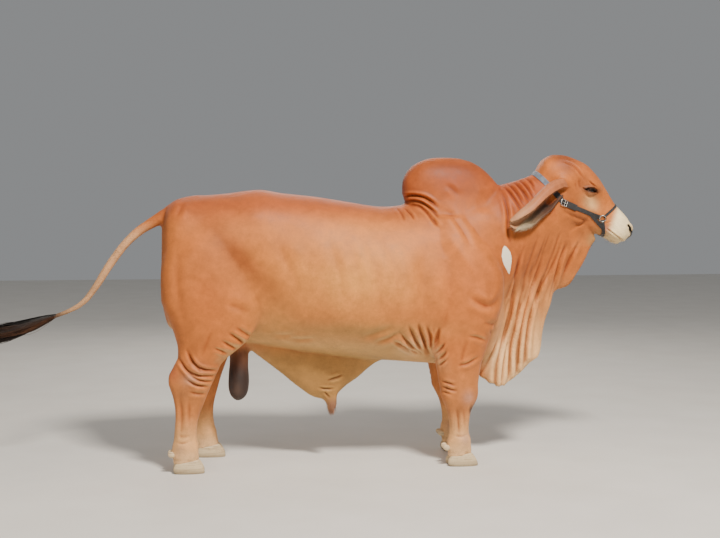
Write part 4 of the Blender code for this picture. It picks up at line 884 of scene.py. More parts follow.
# %% Open the nostrils
NOSTRIL_LINE = [(0.5, 0.128, 0.072), (0.516, 0.13, 0.068), (0.535, 0.121, 0.06), (0.545, 0.107, 0.052)]
NOSTRIL_POINTS = 48
NOSTRIL_EVENING = 40
NOSTRIL_TAIL, NOSTRIL_ROUND = 0.0036, 0.0092
NOSTRIL_DEPTH, NOSTRIL_RIM = 0.017, 0.003
nostril_share = np.zeros(len(clay.points))
down, up, out = face_places(clay.points)
for side in (-1, 1):
    near = np.nonzero((down > 0.45) & (out * side > 0.004) & (up > 0.05))[0]
    places = np.stack([down[near], up[near], out[near] * side], axis=1)
    drawn = curve_through(NOSTRIL_LINE, NOSTRIL_POINTS)
    on_skin = [near[np.argmin(np.linalg.norm(places - spot, axis=1))] for spot in drawn]
    line = clay.points[on_skin]
    for _ in range(NOSTRIL_EVENING):
        line[1:-1] += 0.5 * ((line[:-2] + line[2:]) / 2 - line[1:-1])
    inward = -clay.normals[on_skin].mean(axis=0)
    inward /= np.linalg.norm(inward)
    gaps = np.linalg.norm(clay.points[near][:, None, :] - line[None, :, :], axis=2)
    nearest = gaps.argmin(axis=1) / (NOSTRIL_POINTS - 1)
    t = gaps.min(axis=1) / (NOSTRIL_TAIL + (NOSTRIL_ROUND - NOSTRIL_TAIL) * nearest**0.8)
    press = NOSTRIL_DEPTH * (0.25 + 0.75 * nearest) * np.exp(-(t**2) * 1.3)
    rim = NOSTRIL_RIM * (0.5 + 0.5 * nearest) * bell((t - 2.0) / 0.8)
    clay.points[near] += press[:, None] * inward + rim[:, None] * clay.normals[near]
    nostril_share[near] = np.maximum(nostril_share[near], np.exp(-((t / 1.75) ** 4)))
clay.refresh()
clay.soften(np.clip(nostril_share * 2, 0, 0.8), 5)
print("nostrils", round(1000 * NOSTRIL_DEPTH), "mm deep")

# %% [markdown]
# ### Eyelids
# The eyeball sits in a plugged socket. The lids are made by opening an almond in the skin: points inside
# it sink behind the eyeball, points at its edge are drawn onto the edge so that the rim is clean, and the
# skin round it is drawn to a shell just outside the ball, thick and soft as a lid is.

# %% Where the eyes look
LID_SLOPE = math.radians(12)
LOOK_AHEAD, LOOK_UP = 0.36, -0.04
lid_frames = {}
for side_word, side in SIDES.items():
    centre = np.array(eye_centres[side_word])
    look = np.array([LOOK_AHEAD, side * 1.0, LOOK_UP])
    look /= np.linalg.norm(look)
    long_way = np.array([math.cos(LID_SLOPE), 0, -math.sin(LID_SLOPE)])
    long_way -= look * (long_way @ look)
    long_way /= np.linalg.norm(long_way)
    high_way = np.cross(look, long_way) * side * -1
    if high_way[2] < 0:
        high_way = -high_way
    lid_frames[side_word] = (centre, long_way, high_way, look)
print("each eye looks", look.round(2), "and its lids run", long_way.round(2))

# %% [markdown]
# The lids' points are read along, across and out of the opening. Where a point lies in the opening
# decides how far out it goes, and the fold and the bag are added to that.

# %% Open the eyelids
LID_LENGTH, LID_HEIGHT = 0.0255, 0.0082
LID_THICKNESS = 0.0044
LID_ROUND = 0.75
LID_SNAP = 0.0007
UPPER_ARCH = 0.85
LID_REACH = 0.03
LID_BLEND = 0.005
LID_FOLDS = [
    # how high, how far from the rim, how wide, and on which lid
    (0.005, 0.014, 0.005, "upper"),
    (-0.0034, 0.0075, 0.0024, "upper"),
    (-0.0018, 0.0095, 0.003, "lower"),
    (0.0016, 0.0, 0.003, "upper"),
]
for centre, long_way, high_way, look in lid_frames.values():
    away = clay.points - centre
    near = np.nonzero((np.linalg.norm(away, axis=1) < 0.075) & (away @ look > -0.012))[0]
    u, v, w = away[near] @ long_way, away[near] @ high_way, away[near] @ look
    # a heavy brow presses the upper lid nearly straight
    arch = np.where(v > 0, LID_HEIGHT * UPPER_ARCH, LID_HEIGHT)
    inside_share = np.clip(1 - (u / LID_LENGTH) ** 2, 0, 1)
    edge = arch * inside_share**LID_ROUND
    beyond_end = np.clip(np.abs(u) - LID_LENGTH, 0, None)
    gap = np.where(beyond_end > 0, np.hypot(beyond_end, v), np.abs(v) - edge)
    snap = np.abs(gap) < LID_SNAP
    v = np.where(snap & (beyond_end <= 0), np.sign(v) * edge, v)
    flat = np.hypot(u, v)
    ball_front = np.sqrt(np.clip(EYE_RADIUS**2 - flat**2, 0, None))
    sunk = ball_front * 0.55 - 0.004
    shell = np.sqrt(np.clip((EYE_RADIUS + LID_THICKNESS) ** 2 - flat**2, 0, None))
    rim = np.clip(gap / 0.004, 0, 1)
    lid = ball_front + 0.001 + (shell - ball_front + 0.0012) * rim**0.6
    # away from the opening the lid runs out over the face, with no ditch round the ball
    over = (lid + w + np.hypot(lid - w, LID_BLEND)) / 2
    run_out = ramp(gap, 0.002, 0.012)
    lid = lid * (1 - run_out) + over * run_out
    blend = ramp(gap, 0.006, 0.006 + LID_REACH)
    # a fold over the upper lid, and a soft bag under the lower one
    upper = v > 0
    fold = np.zeros(len(gap))
    for high, from_rim, width, where in LID_FOLDS:
        fold += high * bell((gap - from_rim) / width) * (upper if where == "upper" else ~upper)
    target = np.where(gap < -0.0003, sunk, lid * (1 - blend) + w * blend + fold * (1 - blend**2))
    clay.points[near] = centre + np.outer(u, long_way) + np.outer(v, high_way) + np.outer(target, look)
clay.refresh()
print("lids open", round(2000 * LID_LENGTH), "by", round(2000 * LID_HEIGHT), "mm")

# %% [markdown]
# ### Thin out the flat places
# The finished clay has far more points than a file should carry. Collapsing edges where the skin is flat
# keeps them where it bends, and a vertex group keeps the head's points dearest of all.

# %% Thin the skin
# how deep each place lies below the skin round it, for painted shade in the folds and a painted highlight on
# the ridges
SUNKEN_ROUNDS = 8
softened = clay.points
for _ in range(SUNKEN_ROUNDS):
    softened = softened + STEP_IN * pull(softened)
sunken = ((softened - clay.points) * clay.normals).sum(axis=1)
mesh.attributes.new("sunken", "FLOAT", "POINT").data.foreach_set("value", sunken)
mesh.attributes.new("nostril", "FLOAT", "POINT").data.foreach_set("value", nostril_share)
SKIN_TRIANGLES = 196_000
FOLD_CARE = 0.0001
# a smaller weight keeps more points
HEAD_WEIGHT, MUZZLE_WEIGHT, EAR_WEIGHT, EYE_WEIGHT = 0.8, 0.6, 0.8, 0.1
EYE_KEEP = 0.045
keep = skin.vertex_groups.new(name="thin_out")
down, up, out = face_places(clay.points)
weights = np.where(is_head(clay.points), HEAD_WEIGHT, 1.0)
weights[is_head(clay.points) & (down > 0.4)] = MUZZLE_WEIGHT
weights[on_ear > 0.5] = EAR_WEIGHT
for centre in eye_centres.values():
    weights[np.linalg.norm(clay.points - np.array(centre), axis=1) < EYE_KEEP] = EYE_WEIGHT
for level in np.unique(weights):
    keep.add([int(i) for i in np.nonzero(weights == level)[0]], float(level), "REPLACE")
thin = skin.modifiers.new("thin_out", "DECIMATE")
triangles = 2 * len(mesh.polygons)
thin.ratio = SKIN_TRIANGLES / triangles
thin.vertex_group = "thin_out"
thin.vertex_group_factor = FOLD_CARE
applied(skin)
skin.vertex_groups.clear()
mesh = skin.data
print("thinned from", triangles, "to", sum(len(p.vertices) - 2 for p in mesh.polygons), "triangles,")
print(int(is_head(vertex_array(mesh)).sum()), "of", len(mesh.vertices), "points on the head")

# %% [markdown]
# ## The colours of the coat
# A red Brahman isn't one red. The top line, hump and crest are darkest, the ribs turn golden, partly
# under a painted pool of light, the belly, the inner legs and the pasterns are pale, and the muzzle is
# cream round a black nose. Painted shade lies under the belly, in the hollows and down the folds. These
# fields are soft ovals and bands in the bull's own places, so skin and hair read the same markings.

# %% Colour fields
def oval(points, place, radii, turn=0.0, hard=1.0):
    """A soft oval in the side view, x from the near hind hoof."""
    x, z = points[:, 0] - HOOF_X - place[0], points[:, 2] - place[1]
    c, s = math.cos(turn), math.sin(turn)
    square = ((x * c + z * s) / radii[0]) ** 2 + ((z * c - x * s) / radii[1]) ** 2
    return np.exp(-(square**hard))


def oval_face(down, up, place, radii):
    """A soft oval in the head's frame."""
    return np.exp(-(((down - place[0]) / radii[0]) ** 2 + ((up - place[1]) / radii[1]) ** 2))


def patchy(points, size, seed):
    """A cheap soft noise of about that size, from -1 to 1."""
    draw = np.random.default_rng(seed)
    total = np.zeros(len(points))
    for _ in range(6):
        wave = draw.normal(size=3) / size
        total += np.sin(points @ wave * 1.6 + draw.uniform(0, math.tau))
    return total / 4


def ear_hollow(points, normals, ear):
    """The inner face of the ears, below the rolled edge, and the share of the way to the tip."""
    x, z = points[:, 0] - HOOF_X, points[:, 2]
    inner = ear * ramp(normals[:, 1] * np.sign(points[:, 1]), -0.3, 0.0)
    below = 1.56 - 0.78 * np.clip(2.02 - x, 0, 1) - 0.03 - z
    return inner * ramp(below, 0.03, 0.05), np.clip((2.02 - x) / 0.31, 0, 1)


def nose_pad(points, normals):
    """1 on the bare wet skin between and under the nostrils."""
    down, up, out = face_places(points)
    square = (out / 0.066) ** 4 + ((up - 0.102) / 0.044) ** 4 + 0.12 * patchy(points, 0.01, 8)
    in_front = is_head(points) * ramp(normals @ FACE_AXIS, 0.15, 0.4) * ramp(down, 0.5, 0.52)
    return in_front * ramp(square, 1.15, 0.85)


print("fields for ovals, patches, the ears' hollows and the nose pad")

# %% [markdown]
# The base coat is one middle red. It goes into an array, with a colour for each point of the skin, beside
# the places that the marks are laid by.

# %% Base coat
COAT_BASE = "#BA692D"
skin_points, skin_normals = vertex_array(mesh), vertex_array(mesh, "normal")
points, normals = skin_points, skin_normals
sunken, nostril = np.empty(len(points)), np.empty(len(points))
mesh.attributes["sunken"].data.foreach_get("value", sunken)
mesh.attributes["nostril"].data.foreach_get("value", nostril)
colour = np.tile(linear(COAT_BASE), (len(points), 1))
x, y, z = points[:, 0] - HOOF_X, np.abs(points[:, 1]), points[:, 2]
down, up, out = face_places(points)
out = np.abs(out)
ear = ear_share(points)
head = is_head(points) & (ear < 0.5)
soft = patchy(points, 0.09, 3)
fine = patchy(points, 0.03, 5)


def stain(share, code):
    """Lays a colour over the coat, as far as share says for each point."""
    share = np.clip(share, 0, 1)[:, None]
    colour[:] = colour * (1 - share) + np.array(linear(code)) * share


print("a base coat on", len(points), "points")

# %% [markdown]
# ### The trunk, the legs and the tail
# Each line lays one colour over the last: where, how strongly, and what. The order is a painter's, from the
# large soft areas to the small marks.

# %% Paint the trunk
# the ribs' golden tone, partly the coat's own and partly a painted pool of light
stain(oval(points, (0.85, 1.02), (0.42, 0.24)) * (0.8 + 0.2 * soft), "#D28C42")
stain(oval(points, (0.4, 1.05), (0.22, 0.26)) * 0.4, "#C27430")
stain(oval(points, (0.1, 1.02), (0.2, 0.24), 0.3) * (0.6 + 0.3 * soft), "#AC5C24")
# a painted band of shade, slanting from the hip down over the flank
stain(oval(points, (0.28, 1.12), (0.3, 0.05), -0.85) * (0.68 + 0.2 * soft), "#803E14")
stain(oval(points, (1.45, 1.02), (0.2, 0.26)) * 0.6, "#BC662A")
stain(ramp(z, 1.27, 1.42) * ramp(x, 1.3, 1.1) * 0.75, "#994721")
stain(oval(points, (1.45, 1.55), (0.38, 0.2)) * 0.9, "#8D3E18")
# a painted shade band along the hump's crest, where its top rolls over
stain(oval(points, (1.44, 1.6), (0.22, 0.05)) * 0.45, "#6B2E17")
stain(ramp(x, 1.58, 1.72) * ramp(z, 1.28, 1.42) * ~head * 0.75, "#96421A")
stain(oval(points, (1.78, 1.05), (0.22, 0.3)) * 0.6, "#9A4C1E")
underside = ramp(-normals[:, 2], 0.25, 0.9) * ramp(z, 0.95, 0.7) * ramp(x, 1.75, 1.5)
stain(underside * 0.85, "#D6A96A")
# painted shade on the belly's low side and the sheath's flap, olive as it looks there
stain(ramp(z, 0.72, 0.56) * ramp(x, 0.3, 0.42) * ramp(x, 1.22, 1.05) * 0.75, "#A88449")
stain(oval(points, (0.45, 0.78), (0.12, 0.12)) * 0.45, "#D0944C")
# painted shade along the belly's lower edge, where it turns under
stain(oval(points, (0.92, 0.745), (0.4, 0.05)) * 0.55, "#9C7A42")
# dewlap and throat: partly paler hair, partly painted light where the sun fell on them
stain(ramp(x, 1.62, 1.72) * ramp(z, 1.08, 0.78) * ~head * 0.75, "#D89A5C")
stain(ramp(x, 1.58, 1.68) * ramp(z, 0.86, 0.5) * 0.85, "#EBBE86")
print("painted the trunk and the dewlap")

# %% [markdown]
# The legs pale towards the hooves. Where skin rubs or folds, at the knees, hocks and pasterns, it shows
# darker or greyish.

# %% Paint the legs and the rear
legs = ramp(y, 0.09, 0.13)
stain(ramp(z, 0.66, 0.4) * legs * 0.45, "#BD7C45")
stain(ramp(z, 0.34, 0.16) * legs * 0.72, "#DCAA70")
stain(ramp(z, 0.16, 0.07) * legs * 0.55, "#D8B68A")
stain(oval(points, (-0.085, 0.53), (0.035, 0.045)) * legs * 0.6, "#9C4A2C")
stain(oval(points, (0.0, 0.5), (0.035, 0.03)) * legs * 0.55, "#A98572")
stain(oval(points, (-0.03, 0.425), (0.034, 0.028)) * legs * 0.5, "#7C5032")
stain(oval(points, (0.06, 0.56), (0.06, 0.035), -0.3) * legs * 0.45, "#9A6248")
stain(oval(points, (1.48, 0.375), (0.034, 0.036)) * legs * 0.55, "#AE8677")
stain(oval(points, (1.44, 0.3), (0.03, 0.03)) * legs * 0.45, "#8A542F")
stain(oval(points, (1.5, 0.305), (0.012, 0.026), 0, 2) * legs * 0.85, "#3A2922")
stain(oval(points, (1.47, 0.145), (0.034, 0.036)) * legs * 0.5, "#A88A7C")
stain(oval(points, (-0.05, 0.13), (0.03, 0.03)) * legs * 0.35, "#A58470")
stain(ramp(0.085 - y, 0, 0.06) * ramp(z, 0.8, 0.55) * ramp(x, 0.5, 0.3) * 0.4, "#D6A578")
# pale skin in the armpit, at the elbow and before the arm
bare = np.clip(0.8 + 0.5 * fine, 0, 1)
stain(oval(points, (1.18, 0.655), (0.07, 0.055), 0.4) * bare * 0.6, "#DDBE8E")
stain(oval(points, (1.325, 0.59), (0.028, 0.06), 0.3) * bare * 0.45, "#DDBE8E")
stain(oval(points, (1.66, 0.57), (0.08, 0.022), 0.75) * bare * 0.6, "#E2C797")
# sheath and scrotum
stain(oval(points, (0.775, 0.3), (0.05, 0.045), 0, 1.5) * 0.85, "#8D604D")
pouch = oval(points, (0.268, 0.47), (0.085, 0.22), 0, 3) * ramp(y, 0.11, 0.09)
# the scrotum's dark skin, its top darkened further by painted shade between the thighs
stain(pouch * ramp(z, 0.67, 0.61) * 0.9, "#4B2C20")
stain(pouch * ramp(z, 0.6, 0.48), "#332622")
# a painted highlight: a greyish round sheen low on the scrotum
scrotum_highlight = oval(points, (0.25, 0.4), (0.03, 0.05)) * ramp(y, 0.11, 0.09) * ramp(z, 0.62, 0.52)
stain(scrotum_highlight * 0.35, "#6B5549")
# tail
tail = ramp(x, -0.13, -0.22)
stain(tail * ramp(z, 1.34, 1.22) * 0.85, "#C1956B")
stain(tail * ramp(x, -0.42, -0.58) * 0.7, "#A37E5C")
stain(tail * ramp(x, -0.6, -0.72) * 0.95, "#3A2A22")
print("painted the legs, the sheath, the scrotum and the tail")

# %% [markdown]
# ### The head and the ears
# The poll is dark, the muzzle is cream, and the lids and the nose pad are black. Painted shade darkens
# the cheek's hollow, the temple, the chin, the skin round the eyes and the pits of the nostrils.

# %% Paint the head
stain(head * 0.55, "#B36229")
# painted shade over the cheek's hollow, under the ear
stain(head * oval_face(down, up, (0.215, -0.01), (0.11, 0.05)) * 0.75, "#87471E")
stain(head * bell((down + 0.01) / 0.075) * ramp(up, 0.06, 0.14) * 0.75, "#7A3619")
stain(head * ramp(down, 0.3, 0.06) * ramp(up, 0.14, 0.21) * 0.45, "#A35428")
face = head & (down > 0.04)
# dark skin round the eye, deepened by painted shade from the brow
eye_skin_and_shade = oval_face(down, up, (0.215, 0.118), (0.06, 0.04)) * ramp(out, 0.05, 0.08)
stain(face * eye_skin_and_shade * 0.55, "#784321")
stain(face * oval_face(down, up, (0.262, 0.072), (0.05, 0.036)) * 0.75, "#E6B67A")
# painted shade in the hollow of the temple, behind the eye
temple_shade = oval_face(down, up, (0.135, 0.12), (0.028, 0.05)) * ramp(out, 0.05, 0.08)
stain(face * temple_shade * 0.55, "#7C3D1B")
stain(face * ramp(down, 0.3, 0.4) * ramp(up, 0.2, 0.1) * 0.35, "#C78045")
above_throat = ramp(up, -0.11, -0.06)
muzzle = face * ramp(down + 0.35 * (up - 0.08), 0.4, 0.452) * above_throat
stain(muzzle * 0.94, "#F2DCAC")
# painted shade, olive, on the chin under the lips
chin_shade = ramp(up - 0.3 * (down - 0.4), 0.03, 0.0) * ramp(down, 0.36, 0.43) * above_throat
stain(face * chin_shade * 0.45, "#B3955C")
stain(face * oval_face(down, up, (0.42, 0.03), (0.022, 0.014)) * 0.7, "#BF7E6B")
stain(nose_pad(points, normals) * 0.96, "#211A18")
near_nostril = oval_face(down, up, (0.535, 0.122), (0.03, 0.03)) * ramp(out, 0.03, 0.045)
stain(face * near_nostril * 0.35, "#8C6A4C")
# painted shade: the pit of each nostril is painted near black
stain(face * nostril, "#120D0C")
for centre in eye_centres.values():
    far = np.linalg.norm(points - np.array(centre), axis=1)
    ahead, above = points[:, 0] - centre.x, points[:, 2] - centre.z + 0.16 * (points[:, 0] - centre.x)
    # painted shade from the heavy brow, a brown oval round the eye
    lid = np.exp(-(np.hypot(ahead / 0.056, above / 0.028) ** 3))
    stain(lid * (far < 0.08) * 0.55, "#67351B")
    # the lids' dark skin, drawn out long and black by painted shadow under the brow
    lid = np.exp(-(np.hypot(ahead / 0.046, (above - 0.002) / 0.0165) ** 4))
    stain(lid * (far < 0.07) * 0.94, "#1C120E")
print("painted the head")

# %% [markdown]
# Last come the ears, and then mottling all over, which makes a painted coat look grown, with painted
# shade down in the folds and a painted highlight on the ridges.

# %% Paint the ears and weather the coat
SUNKEN_FULL = 0.0016
FOLD_SHADE = (0.46, 0.6, 0.68)
# tan back, a hollow darkened with painted shade, and pale hair in the hollow towards the tip and along the
# lower rim
hollow, along = ear_hollow(points, normals, ear)
stain(ear * 0.7, "#AB6C46")
stain(ear * ramp(along, 0.4, 0.9) * 0.5, "#BB936E")
stain(hollow * 0.92, "#3A2A22")
stain(hollow * ramp(along, 0.3, 0.62) * 0.6, "#8F7558")
stain(hollow * ramp(along, 0.52, 0.78) * (0.75 + 0.25 * fine), "#E2CFA8")
stain(ear * ramp(-normals[:, 2], 0.4, 0.8) * ramp(along, 0.1, 0.3) * 0.6, "#C9B79C")
# nothing on an animal is even: mottling over all of it
colour[:] = colour * (1 + 0.06 * soft + 0.05 * fine)[:, None]
# and painted shade darkens every fold, and a painted highlight lightens every ridge
depth = np.clip(sunken / SUNKEN_FULL, -1, 1)
darker = 1 - np.outer(np.clip(depth, 0, 1), FOLD_SHADE)
colour[:] = colour * (darker + 0.18 * np.clip(-depth, 0, 1)[:, None])
coat_values = np.clip(colour, 0.001, 1)
wet_nose = nose_pad(points, normals)
mesh.attributes.new("wet_nose", "FLOAT", "POINT").data.foreach_set("value", wet_nose)
coat = mesh.color_attributes.new("coat", "FLOAT_COLOR", "POINT")
coat.data.foreach_set("color", np.hstack([coat_values, np.ones((len(coat_values), 1))]).ravel())
print("coat colours from", coat_values.min(axis=0).round(3), "to", coat_values.max(axis=0).round(3))

# %% [markdown]
# The hide itself is short hair, laid flat and oiled by grooming, over skin. The attribute gives its
# colour. A streaky noise along the lie of the hair shifts that colour a little and raises the fine bump,
# and a broad, weak sheen gives the soft light of a sleek coat.

# %% Hide material
HAIR_STREAK = 260.0
HAIR_ACROSS = 1100.0
PORE_SCALE = 320.0
CLOUD_SCALE = 22.0
NOSE_CELL = 0.004
NOSE_GLOSS = 0.26
PATCH_MIDDLE = (1.705, 1.1035)
PATCH_LENGTH, PATCH_WIDTH = 0.172, 0.062
PATCH_TURN = math.radians(-12.4)
PATCH_SHIFT = 0.75
PATCH_FRAY, PATCH_TEAR, PATCH_TEAR_SCALE = 0.008, 0.014, 110.0
hide, tree, shader, place = material("short_red_hair_hide")
coat_node = add(tree, "ShaderNodeAttribute", {"attribute_name": "coat"})
streak = noise(tree, place, (HAIR_STREAK, HAIR_ACROSS, HAIR_ACROSS * 0.5), 3.0, 0.6)
cloud = noise(tree, place, CLOUD_SCALE, 8.0, 0.72)
pore = noise(tree, place, PORE_SCALE)
light = fitted(tree, streak, 0.3, 0.7, 0.82, 1.15)
light = sums(tree, "MULTIPLY", light, fitted(tree, cloud, 0.25, 0.75, 0.78, 1.2))
# the white patch: a spindle on the near side of the shoulder, widest in its upper third
to_patch = add(tree, "ShaderNodeMapping", {"vector_type": "TEXTURE"}, {
    "Vector": place,
    "Location": (PATCH_MIDDLE[0] + HOOF_X, 0, PATCH_MIDDLE[1]),
    "Rotation": (0, PATCH_TURN, 0),
}).outputs["Vector"]
across, outward, along = add(tree, "ShaderNodeSeparateXYZ", inputs={"Vector": to_patch}).outputs
run = sums(tree, "POWER", fitted(tree, along, PATCH_LENGTH / 2, -PATCH_LENGTH / 2), PATCH_SHIFT)
wide = sums(tree, "MULTIPLY", sums(tree, "SINE", sums(tree, "MULTIPLY", run, math.pi)), PATCH_WIDTH / 2)
edge = sums(tree, "SUBTRACT", wide, sums(tree, "ABSOLUTE", across))
ragged = sums(tree, "MULTIPLY_ADD", streak, PATCH_FRAY, edge)
ragged = sums(tree, "MULTIPLY_ADD", noise(tree, to_patch, PATCH_TEAR_SCALE, 4.0, 0.7), PATCH_TEAR, ragged)
in_patch = fitted(tree, ragged, PATCH_TEAR - 0.0008, PATCH_TEAR + 0.0022)
white = sums(tree, "MULTIPLY", in_patch, sums(tree, "LESS_THAN", outward, -0.05))
marked = mixed(tree, white, scaled(tree, coat_node.outputs["Color"], light), "#EDE2CC")
# the nose pad is bare, wet and glossy, and a net of fine grooves parts it into small cells
wet = add(tree, "ShaderNodeAttribute", {"attribute_name": "wet_nose"}).outputs["Fac"]
cells = add(tree, "ShaderNodeTexVoronoi", inputs={"Vector": place, "Scale": 1 / NOSE_CELL})
grain = sums(tree, "MULTIPLY_ADD", pore, 0.6, streak)
grain = sums(tree, "MULTIPLY_ADD", sums(tree, "MULTIPLY", cells.outputs["Distance"], wet), -2.0, grain)
bumped(tree, shader, grain, 0.45, 0.0012)
give(tree, shader, {
    "Base Color": marked,
    "Roughness": fitted(tree, wet, 0.0, 1.0, fitted(tree, cloud, 0.3, 0.7, 0.48, 0.62), NOSE_GLOSS),
    "Specular IOR Level": 0.28,
    "Sheen Weight": 0.06,
    "Sheen Roughness": 0.45,
})
finish_piece(skin, hide, flesh)
print("hide on", len(flesh), "parts of the frame")

# %% [markdown]
# ## Eyes
# A cow's eye is large, dark and wet. The ball is a sphere with the cornea raised in front. Its pupil is a
# level oval that barely shows in the brown iris, and a clear coat gives it the hard wet highlight.

# %% Eyes
CORNEA_HEIGHT = 0.0016
CORNEA_ANGLE = math.radians(42)
PUPIL = (0.5, 0.3)
IRIS = (0.8, 0.72)


def eye_oval(tree, place, centre, turn, wide, high):
    """Places scaled to an oval round the line of sight, and how far out they lie: 1 on the oval."""
    to_oval = add(tree, "ShaderNodeMapping", {"vector_type": "TEXTURE"}, {
        "Vector": place, "Location": centre, "Rotation": turn.to_euler(),
        "Scale": (EYE_RADIUS * wide, EYE_RADIUS * high, 10.0),
    }).outputs["Vector"]
    return to_oval, add(tree, "ShaderNodeVectorMath", {"operation": "LENGTH"}, {0: to_oval}).outputs["Value"]


for word, side in SIDES.items():
    centre = eye_centres[word]
    look = Vector((LOOK_AHEAD, side, LOOK_UP)).normalized()
    shape = bmesh.new()
    bmesh.ops.create_uvsphere(shape, u_segments=48, v_segments=32, radius=EYE_RADIUS)
    for v in shape.verts:
        off = v.co.angle(Vector((0, 0, 1)))
        v.co *= 1 + CORNEA_HEIGHT / EYE_RADIUS * max(0.0, 1 - (off / CORNEA_ANGLE) ** 2)
    turn = look.to_track_quat("Z", "Y").to_matrix().to_4x4()
    bmesh.ops.transform(shape, matrix=Matrix.Translation(centre) @ turn, verts=shape.verts)
    eyeball = object_of(f"eyeball_{word}", shape)
    wet_eye, tree, shader, place = material(f"wet_brown_eye_{word}")
    pupil = eye_oval(tree, place, centre, turn, *PUPIL)[1]
    iris_place, iris = eye_oval(tree, place, centre, turn, *IRIS)
    brown = two_tone(tree, noise(tree, iris_place, 9.0, 4.0), "#1E100A", "#4A2A16")
    in_iris = mixed(tree, fitted(tree, pupil, 0.92, 1.08), "#050404", brown)
    give(tree, shader, {
        "Base Color": mixed(tree, fitted(tree, iris, 0.96, 1.12), in_iris, "#5A4238"),
        "Roughness": 0.12,
        "Specular IOR Level": 0.35,
        "Coat Weight": 0.3,
        "Coat Roughness": 0.03,
    })
    finish_piece(eyeball, wet_eye, [f"eye_{word}"])
print("eyes", round(2000 * EYE_RADIUS), "mm across")

# %% [markdown]
# ## Hooves
# Each foot has two claws and two dewclaws. A claw is horn that grows down from the coronet: flat on the
# ground and on its inner side, rounded outside and pointed at the toe, with fine rings where growth
# slowed. It is made from one circle, which is bent to the sole's outline and extruded up ring by ring.

# %% Horn material
HORN_RINGS = 150.0


def horn_material(name, light, dark):
    """Hoof horn: pale, banded with the rings of its growth, with fine upright fibres and scuffs."""
    made, tree, shader, place = material(name)
    rings = noise(tree, place, (9.0, 9.0, HORN_RINGS), 3.0)
    fibres = noise(tree, place, (500.0, 500.0, 40.0))
    scuffs = noise(tree, place, 45.0, 6.0, 0.7)
    mix = sums(tree, "MULTIPLY_ADD", scuffs, 0.5, sums(tree, "MULTIPLY_ADD", fibres, 0.4, rings))
    height = add(tree, "ShaderNodeSeparateXYZ", inputs={"Vector": place}).outputs["Z"]
    soiled = sums(tree, "MULTIPLY_ADD", scuffs, -0.03, height)
    clean = fitted(tree, soiled, -0.016, 0.02, 0.5, 1.0)
    give(tree, shader, {
        "Base Color": scaled(tree, two_tone(tree, mix, dark, light, 0.6, 0.98), clean),
        "Roughness": fitted(tree, scuffs, 0.0, 1.0, 0.35, 0.75),
    })
    bumped(tree, shader, mix, 0.5, 0.0012)
    return made


claw_horn = horn_material("hoof_horn", "#D4BE98", "#A08462")
print("horn from a ring every", round(1000 / HORN_RINGS, 1), "mm")

# %% [markdown]
# The sole's outline comes from the claw's own box in the frame. Each ring above it moves in at the toe and
# at the heel, so the front wall slopes as a cloven hoof's does.

# %% Shape of a claw
CLAW_RINGS = 12
CLAW_SIDES = 40
TOE_LEAN, HEEL_LEAN = 0.036, 0.014
CORONET_FRONT, CORONET_HEEL = 0.078, 0.052
CLAW_BULGE, CLAW_TUCK = 0.0045, 0.004
TOE_PINCH, CLEFT_FLATNESS = 0.34, 0.82


def claw(node, inner_side):
    """One claw in the box of its node. inner_side is +1 where the cleft lies towards +Y."""
    low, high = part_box(node)
    toe, heel, middle, half = high.x, low.x, (low.y + high.y) / 2, (high.y - low.y) / 2
    shape = bmesh.new()
    bmesh.ops.create_circle(shape, segments=CLAW_SIDES, radius=1.0, cap_ends=False)
    ring_edges = shape.edges[:]
    rows = [list(shape.verts)]
    bmesh.ops.recalc_face_normals(shape, faces=shape.faces)
    for _ in range(CLAW_RINGS):
        made = bmesh.ops.extrude_edge_only(shape, edges=ring_edges)["geom"]
        rows.append([v for v in made if isinstance(v, bmesh.types.BMVert)])
        new_edges = [e for e in made if isinstance(e, bmesh.types.BMEdge)]
        ring_edges = [e for e in new_edges if all(v in rows[-1] for v in e.verts)]
    for i, row in enumerate(rows):
        rise = i / CLAW_RINGS
        bulge = CLAW_BULGE * math.sin(math.pi * rise**0.8)
        tuck = CLAW_TUCK * (max(0.0, 1 - rise * 7) ** 2 + max(0.0, (rise - 0.85) * 6) ** 2)
        front, back = toe - TOE_LEAN * rise**1.15 + bulge, heel + HEEL_LEAN * (abs(rise - 0.4) / 0.6) ** 2
        wide = half * (1 - 0.1 * rise) * (1 + 0.012 * math.sin(i * 2.6)) - tuck
        for v in row:
            ahead, across = v.co.x, v.co.y
            round_off = math.copysign(abs(across) ** 0.85, across)
            toe_pinch = 1 - TOE_PINCH * max(0.0, ahead) ** 3
            flat = CLEFT_FLATNESS if across * inner_side > 0 else 1.0
            x = (front + back) / 2 + ((front - back) / 2 - tuck) * math.copysign(abs(ahead) ** 0.9, ahead)
            level = CORONET_HEEL + (CORONET_FRONT - CORONET_HEEL) * (x - heel) / (toe - heel)
            v.co = Vector((x, middle + wide * round_off * toe_pinch * flat, rise * (level - 0.0004)))
    bmesh.ops.holes_fill(shape, edges=[e for e in shape.edges if e.is_boundary], sides=0)
    bmesh.ops.recalc_face_normals(shape, faces=shape.faces)
    caps = [f for f in shape.faces if len(f.verts) > 4]
    bmesh.ops.inset_individual(shape, faces=caps, thickness=CLAW_TUCK)
    bmesh.ops.triangulate(shape, faces=[f for f in shape.faces if len(f.verts) > 4])
    made = object_of(node.replace("claw", "hoof"), shape)
    finish_piece(made, claw_horn, [node], sharp=50)


print("a claw has", CLAW_RINGS, "rings of", CLAW_SIDES, "points")

# %% [markdown]
# A dewclaw is a small blunt cone of the same horn behind the pastern, so its solid only needs rounding.

# %% Claws and dewclaws
def dewclaw(node):
    """A smooth blunt dewclaw from its node."""
    shape = swollen_copy(node, 0.0)
    made = object_of(node.replace("dewclaw", "dew_horn"), shape)
    softer = made.modifiers.new("softer", "SUBSURF")
    softer.levels = softer.render_levels = 2
    finish_piece(made, claw_horn, [node])


